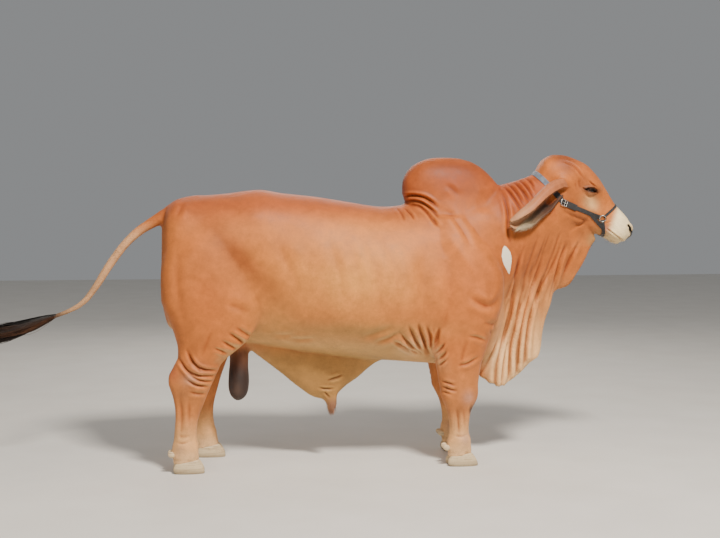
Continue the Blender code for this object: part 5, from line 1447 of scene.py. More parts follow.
for node in sorted(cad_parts):
    if node.startswith("claw_"):
        towards_left = 1 if (node.endswith("inner") == ("right" in node)) else -1
        claw(node, towards_left)
    elif node.startswith("dewclaw_"):
        dewclaw(node)
print("eight claws and eight dewclaws")

# %% [markdown]
# ## The halter
# A plain webbing halter: a grey strap over the nape, dark straps along each cheek, over the nose and
# under the jaw, joined by steel rings and buckles. Webbing is a flat woven band, so each strap is a grid
# laid on the skin by rays from inside the head, given its thickness with Solidify and a soft edge with
# Bevel. The crown runs behind the ears, so its rays look for the flesh as it was before they joined.

# %% Webbing and steel
WEAVE = 0.0022


def webbing_material(name, light, dark, grey_above=None):
    """Woven plastic webbing: ribs of warp over weft, and dust. Below grey_above the strap is black."""
    made, tree, shader, place = material(name)
    where = add(tree, "ShaderNodeAttribute", {"attribute_name": "along_strap"}).outputs["Vector"]
    apart = add(tree, "ShaderNodeSeparateXYZ", inputs={"Vector": where}).outputs
    waves = [sums(tree, "SINE", sums(tree, "MULTIPLY", apart[axis], math.pi / WEAVE)) for axis in ("X", "Y")]
    weave = sums(tree, "MULTIPLY", *waves)
    tone = sums(tree, "MULTIPLY_ADD", weave, 0.25, noise(tree, place, 60.0, 5.0))
    colours = two_tone(tree, tone, dark, light, 0.25, 0.8)
    if grey_above:
        height = add(tree, "ShaderNodeSeparateXYZ", inputs={"Vector": place}).outputs["Z"]
        colours = mixed(tree, sums(tree, "LESS_THAN", height, grey_above), colours, "#1A1A1B")
    give(tree, shader, {"Base Color": colours, "Roughness": 0.62, "Sheen Weight": 0.15})
    bumped(tree, shader, weave, 0.6, 0.0008)
    return made


def steel_material():
    """Nickel-plated steel that has dulled: grey, softly scratched, darker where grease holds dust."""
    made, tree, shader, place = material("dulled_nickel_steel")
    scratches = noise(tree, place, (4500.0, 750.0, 2000.0))
    give(tree, shader, {
        "Base Color": two_tone(tree, noise(tree, place, 130.0, 5.0), "#6E6A64", "#C9C7C2", 0.35, 0.55),
        "Metallic": 1.0,
        "Roughness": fitted(tree, scratches, 0.0, 1.0, 0.25, 0.5),
    })
    bumped(tree, shader, scratches, 0.2, 0.0002)
    return made


grey_webbing = webbing_material("woven_grey_webbing", "#7C8492", "#4A515D", grey_above=1.492)
black_webbing = webbing_material("woven_black_webbing", "#2B2A2C", "#0E0E0F")
steel = steel_material()
print("webbing with a thread every", WEAVE * 1000, "mm")

# %% [markdown]
# The crown goes over the nape and down behind each ear to a buckle. From there a doubled strap follows the
# cheek to a ring beside the nose, where the noseband, the chin strap and a short strap to the jaw meet.

# %% Where the straps run
NAPE_TOP = (1.862, 1.62)
CHEEK_KNOT = (2.034, 1.412)
NOSE_RING = (2.272, 1.326)
NOSE_TOP = (2.392, 1.422)
CHIN = (2.296, 1.195)
RING_RADIUS = 0.018
RING_WIRE = 0.0036
STRAP_LIFT = 0.0006
STRAP_THICKNESS = 0.0034
EAR_GAP = 0.01
skin_tree = BVHTree.FromObject(skin, bpy.context.evaluated_depsgraph_get())


def middle_place(place):
    """A place of the side view as a vector on the bull's middle plane."""
    return Vector((place[0] + HOOF_X, 0, place[1]))


def skin_hit(start, aim):
    """Where a ray from inside the head leaves the skin, passing over an ear."""
    spot, normal, _, far = skin_tree.ray_cast(start, aim)
    bare, bare_normal, _, bare_far = bare_tree.ray_cast(start, aim)
    if bare is not None and (spot is None or far - bare_far > EAR_GAP):
        return bare, bare_normal
    return spot, normal


def hoop(top, foot, reach=90.0):
    """Lays a strap round the head: over its top, and down both sides to the foot."""
    heart = middle_place(foot)
    up = (middle_place(top) - heart).normalized()
    square = Vector((-up.z, 0, up.x))

    def lay(share, offset):
        turn = math.radians(reach) * (2 * share - 1)
        return skin_hit(heart + square * offset, up * math.cos(turn) + Vector((0, math.sin(turn), 0)))

    return lay


def cheek(start, end, side, lift=0.0):
    """Lays a strap along one side of the head between two places of the side view."""
    a, b = middle_place(start), middle_place(end)
    square = Vector((-(b - a).normalized().z, 0, (b - a).normalized().x))

    def lay(share, offset):
        spot, normal = skin_hit(a.lerp(b, share) + square * offset, Vector((0, side, 0)))
        return spot + normal * lift, normal

    return lay


print("rays pass over an ear that lies more than", 1000 * EAR_GAP, "mm outside the bare head")

# %% [markdown]
# A strap is a flat grid first. Its points go onto the skin row by row, its sides are evened, and then it
# gets thickness and a soft edge. A UV map in metres along and across it carries the weave.

# %% Make a strap
STRAP_EDGE = 0.0009


def webbing(name, lay, width, look, slot, replaced=(), steps=60, lanes=4, thickness=STRAP_THICKNESS):
    """A strap on the skin. lay gives a point and a normal for a share along it and an offset across."""
    shape = bmesh.new()
    bmesh.ops.create_grid(shape, x_segments=steps, y_segments=lanes, size=1, calc_uvs=True)
    rows = [[None] * (steps + 1) for _ in range(lanes + 1)]
    for v in shape.verts:
        rows[round((v.co.y + 1) / 2 * lanes)][round((v.co.x + 1) / 2 * steps)] = v
    outward = lay(0.5, 0.0)[1].copy()
    places = np.empty((lanes + 1, steps + 1, 3))
    for across in range(lanes + 1):
        for along in range(steps + 1):
            spot, normal = lay(along / steps, (across / lanes - 0.5) * width)
            places[across, along] = spot + normal * STRAP_LIFT
    for _ in range(8):
        places[:, 1:-1] += 0.5 * ((places[:, :-2] + places[:, 2:]) / 2 - places[:, 1:-1])
    run = np.cumsum(np.linalg.norm(np.diff(places[lanes // 2], axis=0), axis=1))
    run = np.concatenate([[0], run])
    for across, row in enumerate(rows):
        for along, v in enumerate(row):
            v.co = Vector(places[across, along])
    shape.normal_update()
    if rows[lanes // 2][steps // 2].normal.dot(outward) < 0:
        bmesh.ops.reverse_faces(shape, faces=shape.faces)
    cells = {}
    for across, row in enumerate(rows):
        cells.update({v: (run[along], across / lanes * width) for along, v in enumerate(row)})
    layer = shape.loops.layers.uv.verify()
    for face in shape.faces:
        for loop in face.loops:
            loop[layer].uv = cells[loop.vert]
    strap = object_of(name, shape)
    strap.data.uv_layers[0].name = "along_strap"
    thick = strap.modifiers.new("thickness", "SOLIDIFY")
    thick.thickness = thickness
    thick.offset = 1
    edge = strap.modifiers.new("soft_edge", "BEVEL")
    edge.width = STRAP_EDGE
    edge.segments = 2
    applied(strap)
    finish_piece(strap, look, replaced)


print("straps are", 1000 * STRAP_THICKNESS, "mm thick")

# %% [markdown]
# Now the straps themselves: over the nape, over the nose, under the chin, and along the cheeks.

# %% Lay the straps
STRAP_WIDTHS = {"crown": 0.031, "nose": 0.014, "chin": 0.018, "cheek": 0.023, "fold": 0.034, "jaw": 0.018}
SIDE_REACH = 84


def between(start, end, by):
    """The place that far from start on the way to end, in the side view."""
    a, b = Vector(start), Vector(end)
    return tuple(a + (b - a).normalized() * by)


crown = hoop(NAPE_TOP, CHEEK_KNOT)
wide = STRAP_WIDTHS
webbing("crown_strap", crown, wide["crown"], grey_webbing, "crown_webbing", ["halter_crown_strap"], 140)
dark = (black_webbing, "halter_webbing")
over_nose, under_chin = hoop(NOSE_TOP, NOSE_RING, SIDE_REACH), hoop(CHIN, NOSE_RING, SIDE_REACH)
webbing("nose_strap", over_nose, wide["nose"], *dark, ["halter_noseband"], 90)
webbing("chin_strap", under_chin, wide["chin"], *dark, ["halter_chin_strap"], 90)
for word, side in SIDES.items():
    ring_edge = between(NOSE_RING, CHEEK_KNOT, RING_RADIUS * 0.9)
    upper = cheek(CHEEK_KNOT, ring_edge, side)
    webbing(f"cheek_strap_{word}", upper, wide["cheek"], *dark, [f"halter_cheek_strap_{word}"])
    fold_end = between(CHEEK_KNOT, NOSE_RING, 0.085)
    fold_start = between(CHEEK_KNOT, NOSE_RING, 0.012)
    second = cheek(fold_start, fold_end, side, STRAP_THICKNESS)
    webbing(f"cheek_strap_fold_{word}", second, wide["fold"], *dark, steps=24)
    jaw_start = between(CHEEK_KNOT, NOSE_RING, 0.175)
    jaw_end = between(NOSE_RING, CHIN, 0.058)
    low = cheek(jaw_start, jaw_end, side, STRAP_THICKNESS * 0.5)
    webbing(f"jaw_strap_{word}", low, wide["jaw"], *dark, steps=30)
print("straps laid")

# %% [markdown]
# The rings and buckle frames are bent from round steel wire. Each starts as a circle spun into a ring,
# and a buckle's ring is then drawn out into a rounded oblong, with a straight tongue across it.

# %% Rings and buckles
BUCKLE_RADIUS, BUCKLE_WIRE = 0.0165, 0.0024
BUCKLE_STRETCH = 1.08


def wire_ring(radius, wire, oblong=0.0, stretch=1.0):
    """A ring of wire round Z. oblong squares its outline, and stretch widens it along X."""
    shape = bmesh.new()
    bmesh.ops.create_circle(shape, segments=12, radius=wire)
    bmesh.ops.rotate(shape, matrix=Matrix.Rotation(math.pi / 2, 3, "X"), verts=shape.verts)
    bmesh.ops.translate(shape, vec=(radius, 0, 0), verts=shape.verts)
    bmesh.ops.spin(
        shape, geom=shape.edges[:], cent=(0, 0, 0), axis=(0, 0, 1), angle=math.tau, steps=48, use_merge=True)
    for v in shape.verts:
        turn = math.atan2(v.co.y, v.co.x)
        square = 1 / max(abs(math.cos(turn)), abs(math.sin(turn)))
        shift = radius * (min(square, 1.3) - 1) * oblong
        v.co.x += shift * math.cos(turn)
        v.co.y += shift * math.sin(turn)
        v.co.x *= stretch
    bmesh.ops.recalc_face_normals(shape, faces=shape.faces)
    return shape


def rod(shape, start, end, radius):
    """Adds a round rod between two points to a bmesh."""
    a, b = Vector(start), Vector(end)
    turn = (b - a).to_track_quat("Z", "X").to_matrix().to_4x4()
    matrix = Matrix.Translation((a + b) / 2) @ turn
    bmesh.ops.create_cone(
        shape, cap_ends=True, segments=12, radius1=radius, radius2=radius * 0.8,
        depth=(b - a).length, matrix=matrix)


def on_head(shape, place, towards, side, lift):
    """Lays a bmesh flat on the side of the head, its X along the strap and its Z standing out."""
    spot, normal = skin_hit(middle_place(place), Vector((0, side, 0)))
    ahead = (middle_place(towards) - middle_place(place)).normalized()
    across = normal.cross(ahead).normalized()
    ahead = across.cross(normal).normalized()
    turn = Matrix((ahead, across, normal)).transposed().to_4x4()
    bmesh.ops.transform(shape, matrix=Matrix.Translation(spot + normal * lift) @ turn, verts=shape.verts)
    return shape


for word, side in SIDES.items():
    ring = on_head(wire_ring(RING_RADIUS, RING_WIRE), NOSE_RING, CHEEK_KNOT, side, RING_WIRE + 0.0012)
    ring = object_of(f"nose_ring_{word}", ring)
    finish_piece(ring, steel, [f"halter_ring_{word}"])
    frame_shape = wire_ring(BUCKLE_RADIUS, BUCKLE_WIRE, 1.0, BUCKLE_STRETCH)
    rod(frame_shape, (-0.018, 0, 0.0005), (0.0185, 0, 0.003), 0.0019)
    rod(frame_shape, (0.004, -0.0175, 0), (0.004, 0.0175, 0), 0.0021)
    buckle = on_head(frame_shape, CHEEK_KNOT, NOSE_RING, side, STRAP_THICKNESS * 1.7 + 0.002)
    buckle = object_of(f"crown_buckle_{word}", buckle)
    finish_piece(buckle, steel, [f"halter_buckle_{word}"], sharp=40)
print("rings", round(2000 * RING_RADIUS), "mm across, and two buckles")

# %% [markdown]
# ## Hair
# Over most of the bull the coat is too short and flat to see as anything but a grain. Hair breaks the
# form at its edges: the switch of the tail, the ears, the eyelids, the poll and crest, the dewlap, belly
# and sheath, the backs of the legs and the coronets. Each tuft there is a thin tapered solid that lies
# along the coat. Loops lay thousands of them in one array, coloured from the skin at their roots.

# %% A bake map from the skin
UNWRAP_TRIANGLES = 6000
BAKE_PATCH = 0.003
rough_skin = skin.copy()
rough_skin.data = skin.data.copy()
bpy.context.scene.collection.objects.link(rough_skin)
coarse = rough_skin.modifiers.new("coarse", "DECIMATE")
coarse.ratio = UNWRAP_TRIANGLES / len(mesh.polygons)
applied(rough_skin)
bpy.context.view_layer.objects.active = rough_skin
rough_skin.select_set(True)
bpy.ops.object.mode_set(mode="EDIT")
bpy.ops.mesh.select_all(action="SELECT")
bpy.ops.uv.smart_project(angle_limit=math.radians(66), island_margin=0.004)
bpy.ops.object.mode_set(mode="OBJECT")
rough_points = vertex_array(rough_skin.data)
rough_faces = [tuple(p.vertices) for p in rough_skin.data.polygons]
uv_values = np.empty(len(rough_skin.data.loops) * 2)
rough_skin.data.uv_layers.active.data.foreach_get("uv", uv_values)
uv_values = uv_values.reshape(-1, 2)
rough_starts = [p.loop_start for p in rough_skin.data.polygons]
rough_tree = BVHTree.FromPolygons([tuple(p) for p in rough_points], rough_faces)
bpy.data.objects.remove(rough_skin)


def bake_places(roots):
    """Where each root lies on the unwrapped skin."""
    found = np.empty((len(roots), 2))
    for i, root in enumerate(roots):
        spot, _, face, _ = rough_tree.find_nearest(Vector(root))
        a, b, c = (rough_points[k] for k in rough_faces[face][:3])
        ab, ac, ap = b - a, c - a, np.array(spot) - a
        d00, d01, d11 = ab @ ab, ab @ ac, ac @ ac
        d20, d21 = ap @ ab, ap @ ac
        scale = d00 * d11 - d01 * d01 or 1.0
        v, w = (d11 * d20 - d01 * d21) / scale, (d00 * d21 - d01 * d20) / scale
        corner = uv_values[rough_starts[face] : rough_starts[face] + 3]
        found[i] = corner[0] * (1 - v - w) + corner[1] * v + corner[2] * w
    return np.clip(found, 0.002, 0.998)


print("unwrapped", len(rough_faces), "faces of the skin")

# %% [markdown]
# A tuft is three sides round a bent centre line, widest a third of the way along and run out to
# one point. Its flat side lies on the coat. The colour of the skin under it goes along, a little lighter
# towards the tip, as the ends of real hair are sun-bleached.

# %% Make tufts
HAIR_SEED = 5
hair_draw = np.random.default_rng(HAIR_SEED)
TUFT_CORNERS = 3
TUFT_RINGS = 4
TUFT_ROUNDNESS = 0.4
ROOT_DEPTH = 0.0005


def unit(vectors):
    """Vectors of length 1."""
    return vectors / np.maximum(np.linalg.norm(vectors, axis=-1, keepdims=True), 1e-9)


def tufts(name, centres, flats, widths, colours, look, slot, replaced=(), thin=0.35, tip_light=1.15):
    """One piece of many tufts. centres is tufts x rings x 3, and flats gives each one's flat side."""
    count, rings = centres.shape[:2]
    ahead = unit(np.gradient(centres, axis=1))
    across = unit(np.cross(ahead, flats[:, None, :]))
    high = unit(np.cross(across, ahead))
    share = np.linspace(0, 1, rings)[None, :, None]
    belly = 0.55 + 0.45 * np.sin(np.pi * np.clip(share * 1.5, 0, 0.5))
    wide = widths[:, None, None] / 2 * belly * (1 - share**3 * 0.97)
    turns = np.arange(TUFT_CORNERS) / TUFT_CORNERS * math.tau + math.pi / 2
    ring_points = [centres + across * wide * math.cos(a) + high * wide * thin * math.sin(a) for a in turns]
    body = np.stack(ring_points, axis=2)[:, :-1].reshape(count, (rings - 1) * TUFT_CORNERS, 3)
    block = np.concatenate([body, centres[:, -1:, :]], axis=1)
    size = block.shape[1]
    faces, tip = [], size - 1
    for r in range(rings - 2):
        for k in range(TUFT_CORNERS):
            a, b = r * TUFT_CORNERS + k, r * TUFT_CORNERS + (k + 1) % TUFT_CORNERS
            faces.append((a, a + TUFT_CORNERS, b + TUFT_CORNERS, b))
    last = (rings - 2) * TUFT_CORNERS
    for k in range(TUFT_CORNERS):
        faces.append((last + (k + 1) % TUFT_CORNERS, last + k, tip))
    faces.append(tuple(range(TUFT_CORNERS)))
    lengths = np.array([len(f) for f in faces])
    flat_faces = np.concatenate([np.array(f) for f in faces])
    loops = (flat_faces[None, :] + np.arange(count)[:, None] * size).ravel()
    all_lengths = np.tile(lengths, count)
    made = bpy.data.meshes.new(name)
    made.vertices.add(count * size)
    made.vertices.foreach_set("co", block.ravel())
    made.loops.add(len(loops))
    made.loops.foreach_set("vertex_index", loops)
    made.polygons.add(len(all_lengths))
    made.polygons.foreach_set("loop_start", np.concatenate([[0], np.cumsum(all_lengths)[:-1]]))
    made.polygons.foreach_set("use_smooth", [True] * len(all_lengths))
    made.update(calc_edges=True)
    # each tuft takes its light mostly as the coat round it does, so that it lies in it
    under_tip = centres[:, -1:] - high[:, -1:] * 1e-4
    hearts = np.concatenate([np.repeat(centres[:, :-1], TUFT_CORNERS, axis=1), under_tip], axis=1)
    leaning = unit(block - hearts)
    shading = unit(np.repeat(flats[:, None, :], size, axis=1) + leaning * TUFT_ROUNDNESS)
    made.normals_split_custom_set_from_vertices(shading.reshape(-1, 3))
    ring_of = np.concatenate([np.repeat(np.arange(rings - 1), TUFT_CORNERS), [rings - 1]]) / (rings - 1)
    tone = 1 + (tip_light - 1) * ring_of[None, :, None]
    tint = np.ones((count, size, 4))
    tint[:, :, :3] = np.clip(colours[:, None, :] * tone, 0, 1)
    layer = made.color_attributes.new("coat", "FLOAT_COLOR", "POINT")
    layer.data.foreach_set("color", tint.ravel())
    patch = made.uv_layers.new(name="OFBake")
    round_of = np.concatenate([np.tile(np.arange(TUFT_CORNERS) / TUFT_CORNERS, rings - 1), [0.5]])
    local = np.stack([round_of, ring_of], axis=1)
    uv = bake_places(centres[:, 0])[:, None, :] + (local[None] - 0.5) * BAKE_PATCH
    patch.data.foreach_set("uv", uv.reshape(-1, 2)[loops].ravel())
    made.validate()
    piece = bpy.data.objects.new(name, made)
    bpy.context.scene.collection.objects.link(piece)
    finish_piece(piece, look, replaced)
    print(name, count, "tufts,", int((all_lengths - 2).sum()), "triangles")


print("a tuft has", TUFT_CORNERS, "sides and", TUFT_RINGS, "rings")

# %% [markdown]
# Hair shines along its length, so tufts get a smoother finish than the hide. Roots are drawn over the
# skin's faces by their area and by a weight, and take the coat's colour there.

# %% Hair looks and roots
def hair_material(name, rough, sheen):
    """Hair in tufts: the coat's colour, streaked along each tuft, with a soft gloss."""
    made, tree, shader, place = material(name)
    coat_node = add(tree, "ShaderNodeAttribute", {"attribute_name": "coat"})
    light = fitted(tree, noise(tree, place, 420.0), 0.3, 0.7, 0.78, 1.2)
    give(tree, shader, {
        "Base Color": scaled(tree, coat_node.outputs["Color"], light),
        "Roughness": rough,
        "Sheen Weight": sheen,
        "Specular IOR Level": 0.35,
    })
    return made


coat_hair = hair_material("short_red_hair_tufts", 0.5, 0.12)
long_hair = hair_material("coarse_black_switch_hair", 0.42, 0.05)
face_corners = np.array([p.vertices[:3] for p in mesh.polygons])
corner_points = skin_points[face_corners]
first_side = corner_points[:, 1] - corner_points[:, 0]
second_side = corner_points[:, 2] - corner_points[:, 0]
face_areas = np.linalg.norm(np.cross(first_side, second_side), axis=1)
FEWER = 1


def roots_on_skin(count, weight):
    """Places drawn over the skin by a weight given for its points, with normals and coat colours."""
    count //= FEWER
    chance = face_areas * weight[face_corners].mean(axis=1)
    picked = hair_draw.choice(len(face_corners), count, p=chance / chance.sum())
    u, v = hair_draw.uniform(size=(2, count))
    u, v = np.where(u + v > 1, (1 - u, 1 - v), (u, v))
    shares = np.stack([1 - u - v, u, v], axis=1)[:, :, None]
    corners = face_corners[picked]
    places = (skin_points[corners] * shares).sum(axis=1)
    normals = unit((skin_normals[corners] * shares).sum(axis=1))
    return places, normals, (coat_values[corners] * shares).sum(axis=1)


print("coat area", round(float(face_areas.sum() / 2), 2), "square metres")

# %% [markdown]
# Hair has a direction of growth. A tuft starts just under the skin and follows that direction, rising a
# little as it goes, and no two have the same length, width or tone.

# %% Lay hair along the coat
def lie_of_coat(points):
    """Which way the hair grows: back over the body, down the legs, and up the face from the muzzle."""
    x, z = points[:, 0] - HOOF_X, points[:, 2]
    way = np.tile(np.array([-0.9, 0.0, -0.36]), (len(points), 1))
    low = ramp(z, 0.8, 0.55)[:, None]
    way = way * (1 - low) + np.array([-0.12, 0.0, -1.0]) * low
    neck = (ramp(x, 1.55, 1.75) * ramp(z, 1.35, 1.15))[:, None]
    way = way * (1 - neck) + np.array([-0.45, 0.0, -0.9]) * neck
    way = np.where(is_head(points)[:, None], -FACE_AXIS * 0.9 + np.array([-0.1, 0, -0.3]), way)
    way = np.where(ear_share(points)[:, None] > 0.5, np.array([-0.8, 0.0, -0.6]), way)
    tail = ((x < -0.13) & (z > 0.6))[:, None]
    return np.where(tail, np.array([-0.92, 0.0, -0.38]), way)


def laid_hair(name, count, weight, length, width, lift, dark=False, droop=0.0, spread=0.25):
    """Short hair drawn over the skin by weight, lying along the coat and standing off it by lift."""
    places, normals, colours = roots_on_skin(count, weight)
    count = len(places)
    way = lie_of_coat(places) + hair_draw.normal(size=(count, 3)) * spread * 0.3
    way = unit(way - normals * (way * normals).sum(axis=1, keepdims=True))
    lengths = length * hair_draw.uniform(0.6, 1.15, count)[:, None, None]
    share = np.linspace(0, 1, TUFT_RINGS)[None, :, None]
    rise = lift * hair_draw.uniform(0.6, 1.5, count)[:, None, None]
    centres = places[:, None, :] - normals[:, None, :] * ROOT_DEPTH + way[:, None, :] * lengths * share
    centres = centres + normals[:, None, :] * rise * lengths * share**0.8
    centres[:, :, 2] -= (droop * lengths * share**2)[:, :, 0]
    colours = colours * hair_draw.uniform(0.8, 1.22, count)[:, None]
    widths = width * hair_draw.uniform(0.7, 1.2, count)
    look, slot = (long_hair, "switch_hair") if dark else (coat_hair, "red_hide")
    tufts(name, centres, normals, widths, colours, look, slot)


print("hair on the flank lies along", lie_of_coat(np.array([[0.2, -0.3, 1.0]]))[0].round(2))

# %% [markdown]
# ### The switch
# The tail ends in a switch of coarse black hair, half a metre long and thrown out behind as the tail
# swings. Its strands gather into hanks, which wander apart a little and come together again at the tip.

# %% Grow the switch
SWITCH_STRANDS = 3000
SWITCH_HANKS = 26
SWITCH_RINGS = 9
DOCK_POINTS = 60
HANK_WIDEST = 0.036
HANK_WAVE = 0.006
SWITCH_SAG = 0.016
DOCK = [(-0.7, 0.816), (-0.76, 0.798), (-0.86, 0.772), (-0.955, 0.744)]
SWITCH_TIP = (-1.318, 0.65)
dock_line = np.insert(curve_through(side_line(DOCK), DOCK_POINTS), 1, 0.0, axis=1)
strands = SWITCH_STRANDS // FEWER
hank = hair_draw.integers(0, SWITCH_HANKS, strands)
hank_root = np.linspace(0, 1, SWITCH_HANKS) ** 0.9
hank_turn = np.arange(SWITCH_HANKS) * 2.4
start_share = np.clip(hank_root[hank] + hair_draw.normal(size=strands) * 0.05, 0, 1)
root = dock_line[(start_share * (DOCK_POINTS - 1)).astype(int)]
turn = hank_turn[hank] + hair_draw.normal(size=strands) * 0.7
out = np.stack([np.zeros(strands), np.cos(turn), np.sin(turn)], axis=1)
thick = np.interp(start_share, [0, 1], [0.0125, 0.005])
root = root + out * thick[:, None] * 0.8
tip_middle = np.array([SWITCH_TIP[0] + HOOF_X, 0.0, SWITCH_TIP[1]])
hank_out = np.stack([np.zeros(SWITCH_HANKS), np.cos(hank_turn), np.sin(hank_turn)], axis=1)
hank_reach = hair_draw.uniform(0.72, 1.0, SWITCH_HANKS) * (0.62 + 0.38 * hank_root)
hank_tip = hank_out * hair_draw.uniform(0.008, HANK_WIDEST, SWITCH_HANKS)[:, None]
reach = hank_reach[hank] * hair_draw.uniform(0.86, 1.04, strands)
start_middle = dock_line[(hank_root * (DOCK_POINTS - 1)).astype(int)][hank]
tip = start_middle + (tip_middle - start_middle) * reach[:, None] + hank_tip[hank]
tip = tip + hair_draw.normal(size=(strands, 3)) * np.array([0.01, 0.006, 0.006])
tip[:, 0] = np.maximum(tip[:, 0], SWITCH_TIP[0] + HOOF_X)
print(strands, "strands in", SWITCH_HANKS, "hanks")

# %% [markdown]
# Each strand bends from its root to its tip. It swells outward in the middle, waves with its hank and
# sags a little.

# %% Bend the strands
share = np.linspace(0, 1, SWITCH_RINGS)[None, :, None]
bulge = np.sin(np.pi * share**0.8)
centres = root[:, None, :] * (1 - share) + tip[:, None, :] * share
centres = centres + out[:, None, :] * bulge * hair_draw.uniform(0.004, 0.02, strands)[:, None, None]
waves = hair_draw.uniform(4, 8, SWITCH_HANKS)[hank][:, None, None]
wave = np.sin(share * waves + hank_turn[hank][:, None, None])
centres = centres + hank_out[hank][:, None, :] * wave * HANK_WAVE * share
sag = hair_draw.uniform(0.4, 1.4, strands)[:, None, None]
centres[:, :, 2] -= (SWITCH_SAG * np.sin(np.pi * share) * sag)[:, :, 0]
black = np.tile(linear("#2A211D"), (strands, 1)) * hair_draw.uniform(0.45, 1.5, strands)[:, None]
brown = (start_share < 0.22)[:, None] * hair_draw.uniform(0, 1, strands)[:, None]
black = black * (1 - brown * 0.5) + np.array(linear("#8A5A3C")) * brown * 0.5
flats = unit(np.cross(unit(tip - root), out))
widths = hair_draw.uniform(0.0016, 0.0034, strands)
dark_hair = (long_hair, "switch_hair")
tufts("switch_strands", centres, flats, widths, black, *dark_hair, ["tail_switch"], thin=0.6, tip_light=1.25)

# %% [markdown]
# ### Short hair where it breaks the form
# Weights over the skin choose the places, which are still at hand from the painting: ridges and free
# edges of the top line, crest, dewlap and belly, the backs of the legs, the coronets, the tail, and the
# rims of the ears.

# %% Lay the edge hair
facing_up = skin_normals[:, 2]
on_top = ramp(facing_up, 0.35, 0.8) * ramp(z, 1.15, 1.3) * ~head
laid_hair("top_line_hair", 9000, on_top * (ear < 0.1) + 1e-9, 0.012, 0.0015, 0.07)
under = ramp(-facing_up, 0.35, 0.85) * ramp(z, 0.9, 0.78) * (z > 0.45) * (x > 0.3) * (x < 1.6)
laid_hair("belly_hair", 8000, under + 1e-9, 0.014, 0.0015, 0.07, droop=0.1)
edge = ramp(0.03 - y, 0.0, 0.02) * (x > 1.45) * (z < 1.22) * ~head
laid_hair("dewlap_hair", 9000, edge + 1e-9, 0.012, 0.0014, 0.07, droop=0.1)
legs = ramp(z, 0.66, 0.55) * ((x < 0.4) | (x > 1.25)) * (y > 0.05) * ramp(z, 0.085, 0.1)
laid_hair("leg_hair", 9000, legs * (0.35 + ramp(-skin_normals[:, 0], 0.1, 0.7)), 0.01, 0.0014, 0.07)
coronet = ramp(z, 0.125, 0.1) * ramp(z, 0.07, 0.082) * (y > 0.12)
laid_hair("coronet_hair", 8000, coronet + 1e-6, 0.011, 0.0012, 0.09)
tail = (x < -0.1) * ramp(z, 0.6, 0.7)
laid_hair("tail_hair", 6000, tail * (0.3 + ramp(facing_up, -0.3, 0.6)), 0.018, 0.0016, 0.09)
sheath = np.exp(-(((x - 0.765) / 0.022) ** 2 + ((z - 0.292) / 0.018) ** 2)) * (z < 0.4)
laid_hair("sheath_hair", 320, sheath + 1e-9, 0.032, 0.0018, 0.25, dark=True, droop=0.5, spread=0.4)
behind = ramp(-skin_normals[:, 0], 0.3, 0.8) * ((x < 0.1) & (z > 0.62)) * ~(tail > 0)
laid_hair("thigh_hair", 4000, behind + 1e-6, 0.012, 0.0016, 0.07)
print("hair along the body's edges")

# %% [markdown]
# The head's hair is the shortest of all. It is longer on the poll and under the jaw, and pale and long in
# the hollow of the ears.

# %% Lay the head's hair
face_edge = head * (0.25 + ramp(facing_up, 0.4, 0.8) + ramp(-facing_up, 0.3, 0.8)) * ramp(down, 0.5, 0.4)
laid_hair("face_hair", 12000, face_edge + 1e-9, 0.0065, 0.0009, 0.09)
poll = head * bell((down + 0.005) / 0.055) * ramp(up, 0.1, 0.16)
laid_hair("poll_hair", 3400, poll + 1e-9, 0.012, 0.0012, 0.1)
jaw = head * ramp(-facing_up, 0.2, 0.7) * ramp(down, 0.05, 0.15) * ramp(up, 0.02, -0.02)
laid_hair("jaw_hair", 2400, jaw + 1e-9, 0.01, 0.0011, 0.1, droop=0.15)
laid_hair("ear_hair", 8000, ear + 1e-9, 0.0075, 0.001, 0.08)
hollow, along = ear_hollow(skin_points, skin_normals, ear)
inside = hollow * ramp(along, 0.25, 0.7) + ear * ramp(-facing_up, 0.5, 0.8) * 0.6
laid_hair("ear_inside_hair", 3200, inside + 1e-9, 0.022, 0.0014, 0.35, droop=0.2, spread=0.4)
chin = head * ramp(down, 0.42, 0.46) * ramp(up, 0.075, 0.055) * ramp(y, 0.0, 0.02)
laid_hair("whiskers", 260, chin + 1e-9, 0.02, 0.0008, 0.8, dark=True, spread=0.6)
print("hair on the head")

# %% [markdown]
# A row of lashes stands out from each upper lid, and slants down as a cow's do.

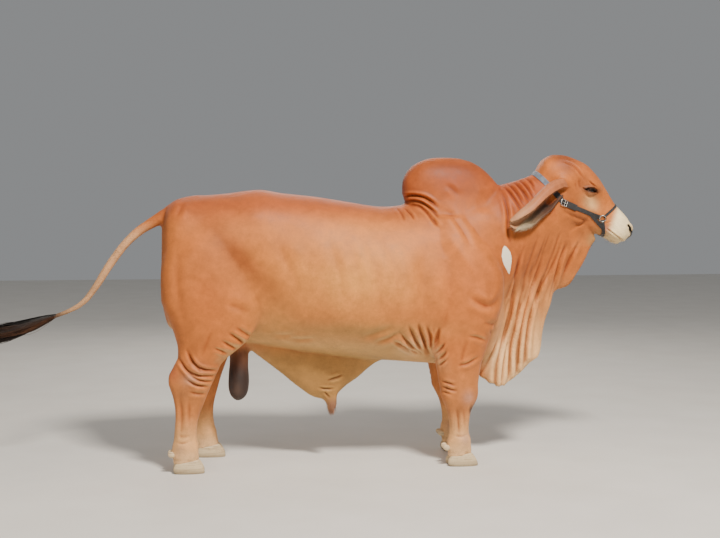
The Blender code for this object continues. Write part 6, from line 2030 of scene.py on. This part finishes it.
# %% Eyelashes
LASHES = 150
LASH_WIDTH = 0.00038
lash_roots, lash_lines = [], []
for centre, long_way, high_way, look in lid_frames.values():
    u = hair_draw.uniform(-0.74, 0.74, LASHES) * LID_LENGTH
    v = LID_HEIGHT * UPPER_ARCH * (1 - (u / LID_LENGTH) ** 2) ** LID_ROUND
    w = np.sqrt(EYE_RADIUS**2 - u**2 - v**2) + 0.0035
    root = centre + np.outer(u, long_way) + np.outer(v, high_way) + np.outer(w, look)
    way = unit(look * 0.8 + np.outer(u / LID_LENGTH * 0.5, long_way) + np.array([0.1, 0, -0.45]))
    long = hair_draw.uniform(0.01, 0.017, LASHES)[:, None, None]
    share = np.linspace(0, 1, 4)[None, :, None]
    lash_lines.append(root[:, None, :] + way[:, None, :] * long * share + high_way * 0.35 * long * share**2)
    lash_roots.append(np.tile(high_way, (LASHES, 1)))
lash_lines, lash_flats = np.concatenate(lash_lines), np.concatenate(lash_roots)
lash_black = np.tile(linear("#1A1210"), (len(lash_lines), 1))
lash_widths = np.full(len(lash_lines), LASH_WIDTH)
tufts("eyelashes", lash_lines, lash_flats, lash_widths, lash_black, *dark_hair, thin=0.8)
print(LASHES, "lashes on each eye")

# %% [markdown]
# ## Floor and light
# A plain pale floor and one soft key light from above, a little behind the camera, with a low fill and a
# rim from the far side, in a pale studio.

# %% Stage
floor_shape = bmesh.new()
bmesh.ops.create_grid(floor_shape, x_segments=1, y_segments=1, size=14)
floor = object_of("floor", floor_shape)
floor_look, tree, shader, place = material("pale_concrete_floor")
give(tree, shader, {
    "Base Color": two_tone(tree, noise(tree, place, 3.0, 6.0), "#CFCBC4", "#DDDAD4"),
    "Roughness": 0.85,
})
floor.data.materials.append(floor_look)
LIGHT_COLOUR = (1.0, 0.93, 0.84)
LIGHT_AIM = (0.2, 0, 0.9)
WORLD_COLOUR, WORLD_STRENGTH = (0.86, 0.88, 0.9, 1), 0.3
LIGHTS = {
    "key": ((1.6, -4.6, 6.0), 900, 1.2),
    "fill": ((-4.8, -4.0, 2.2), 60, 3.0),
    "rim": ((0.6, 5.0, 4.0), 110, 3.0),
}
for name, (spot, energy, size) in LIGHTS.items():
    light = bpy.data.lights.new(name, "AREA")
    light.energy, light.size = energy, size
    light.color = LIGHT_COLOUR
    lamp = bpy.data.objects.new(name, light)
    bpy.context.scene.collection.objects.link(lamp)
    lamp.location = spot
    lamp.rotation_euler = (Vector(LIGHT_AIM) - Vector(spot)).to_track_quat("-Z", "Y").to_euler()
world = bpy.data.worlds.new("studio")
world.use_nodes = True
background = world.node_tree.nodes["Background"]
give(world.node_tree, background, {"Color": WORLD_COLOUR, "Strength": WORLD_STRENGTH})
bpy.context.scene.world = world
print("floor and", len(LIGHTS), "lights")
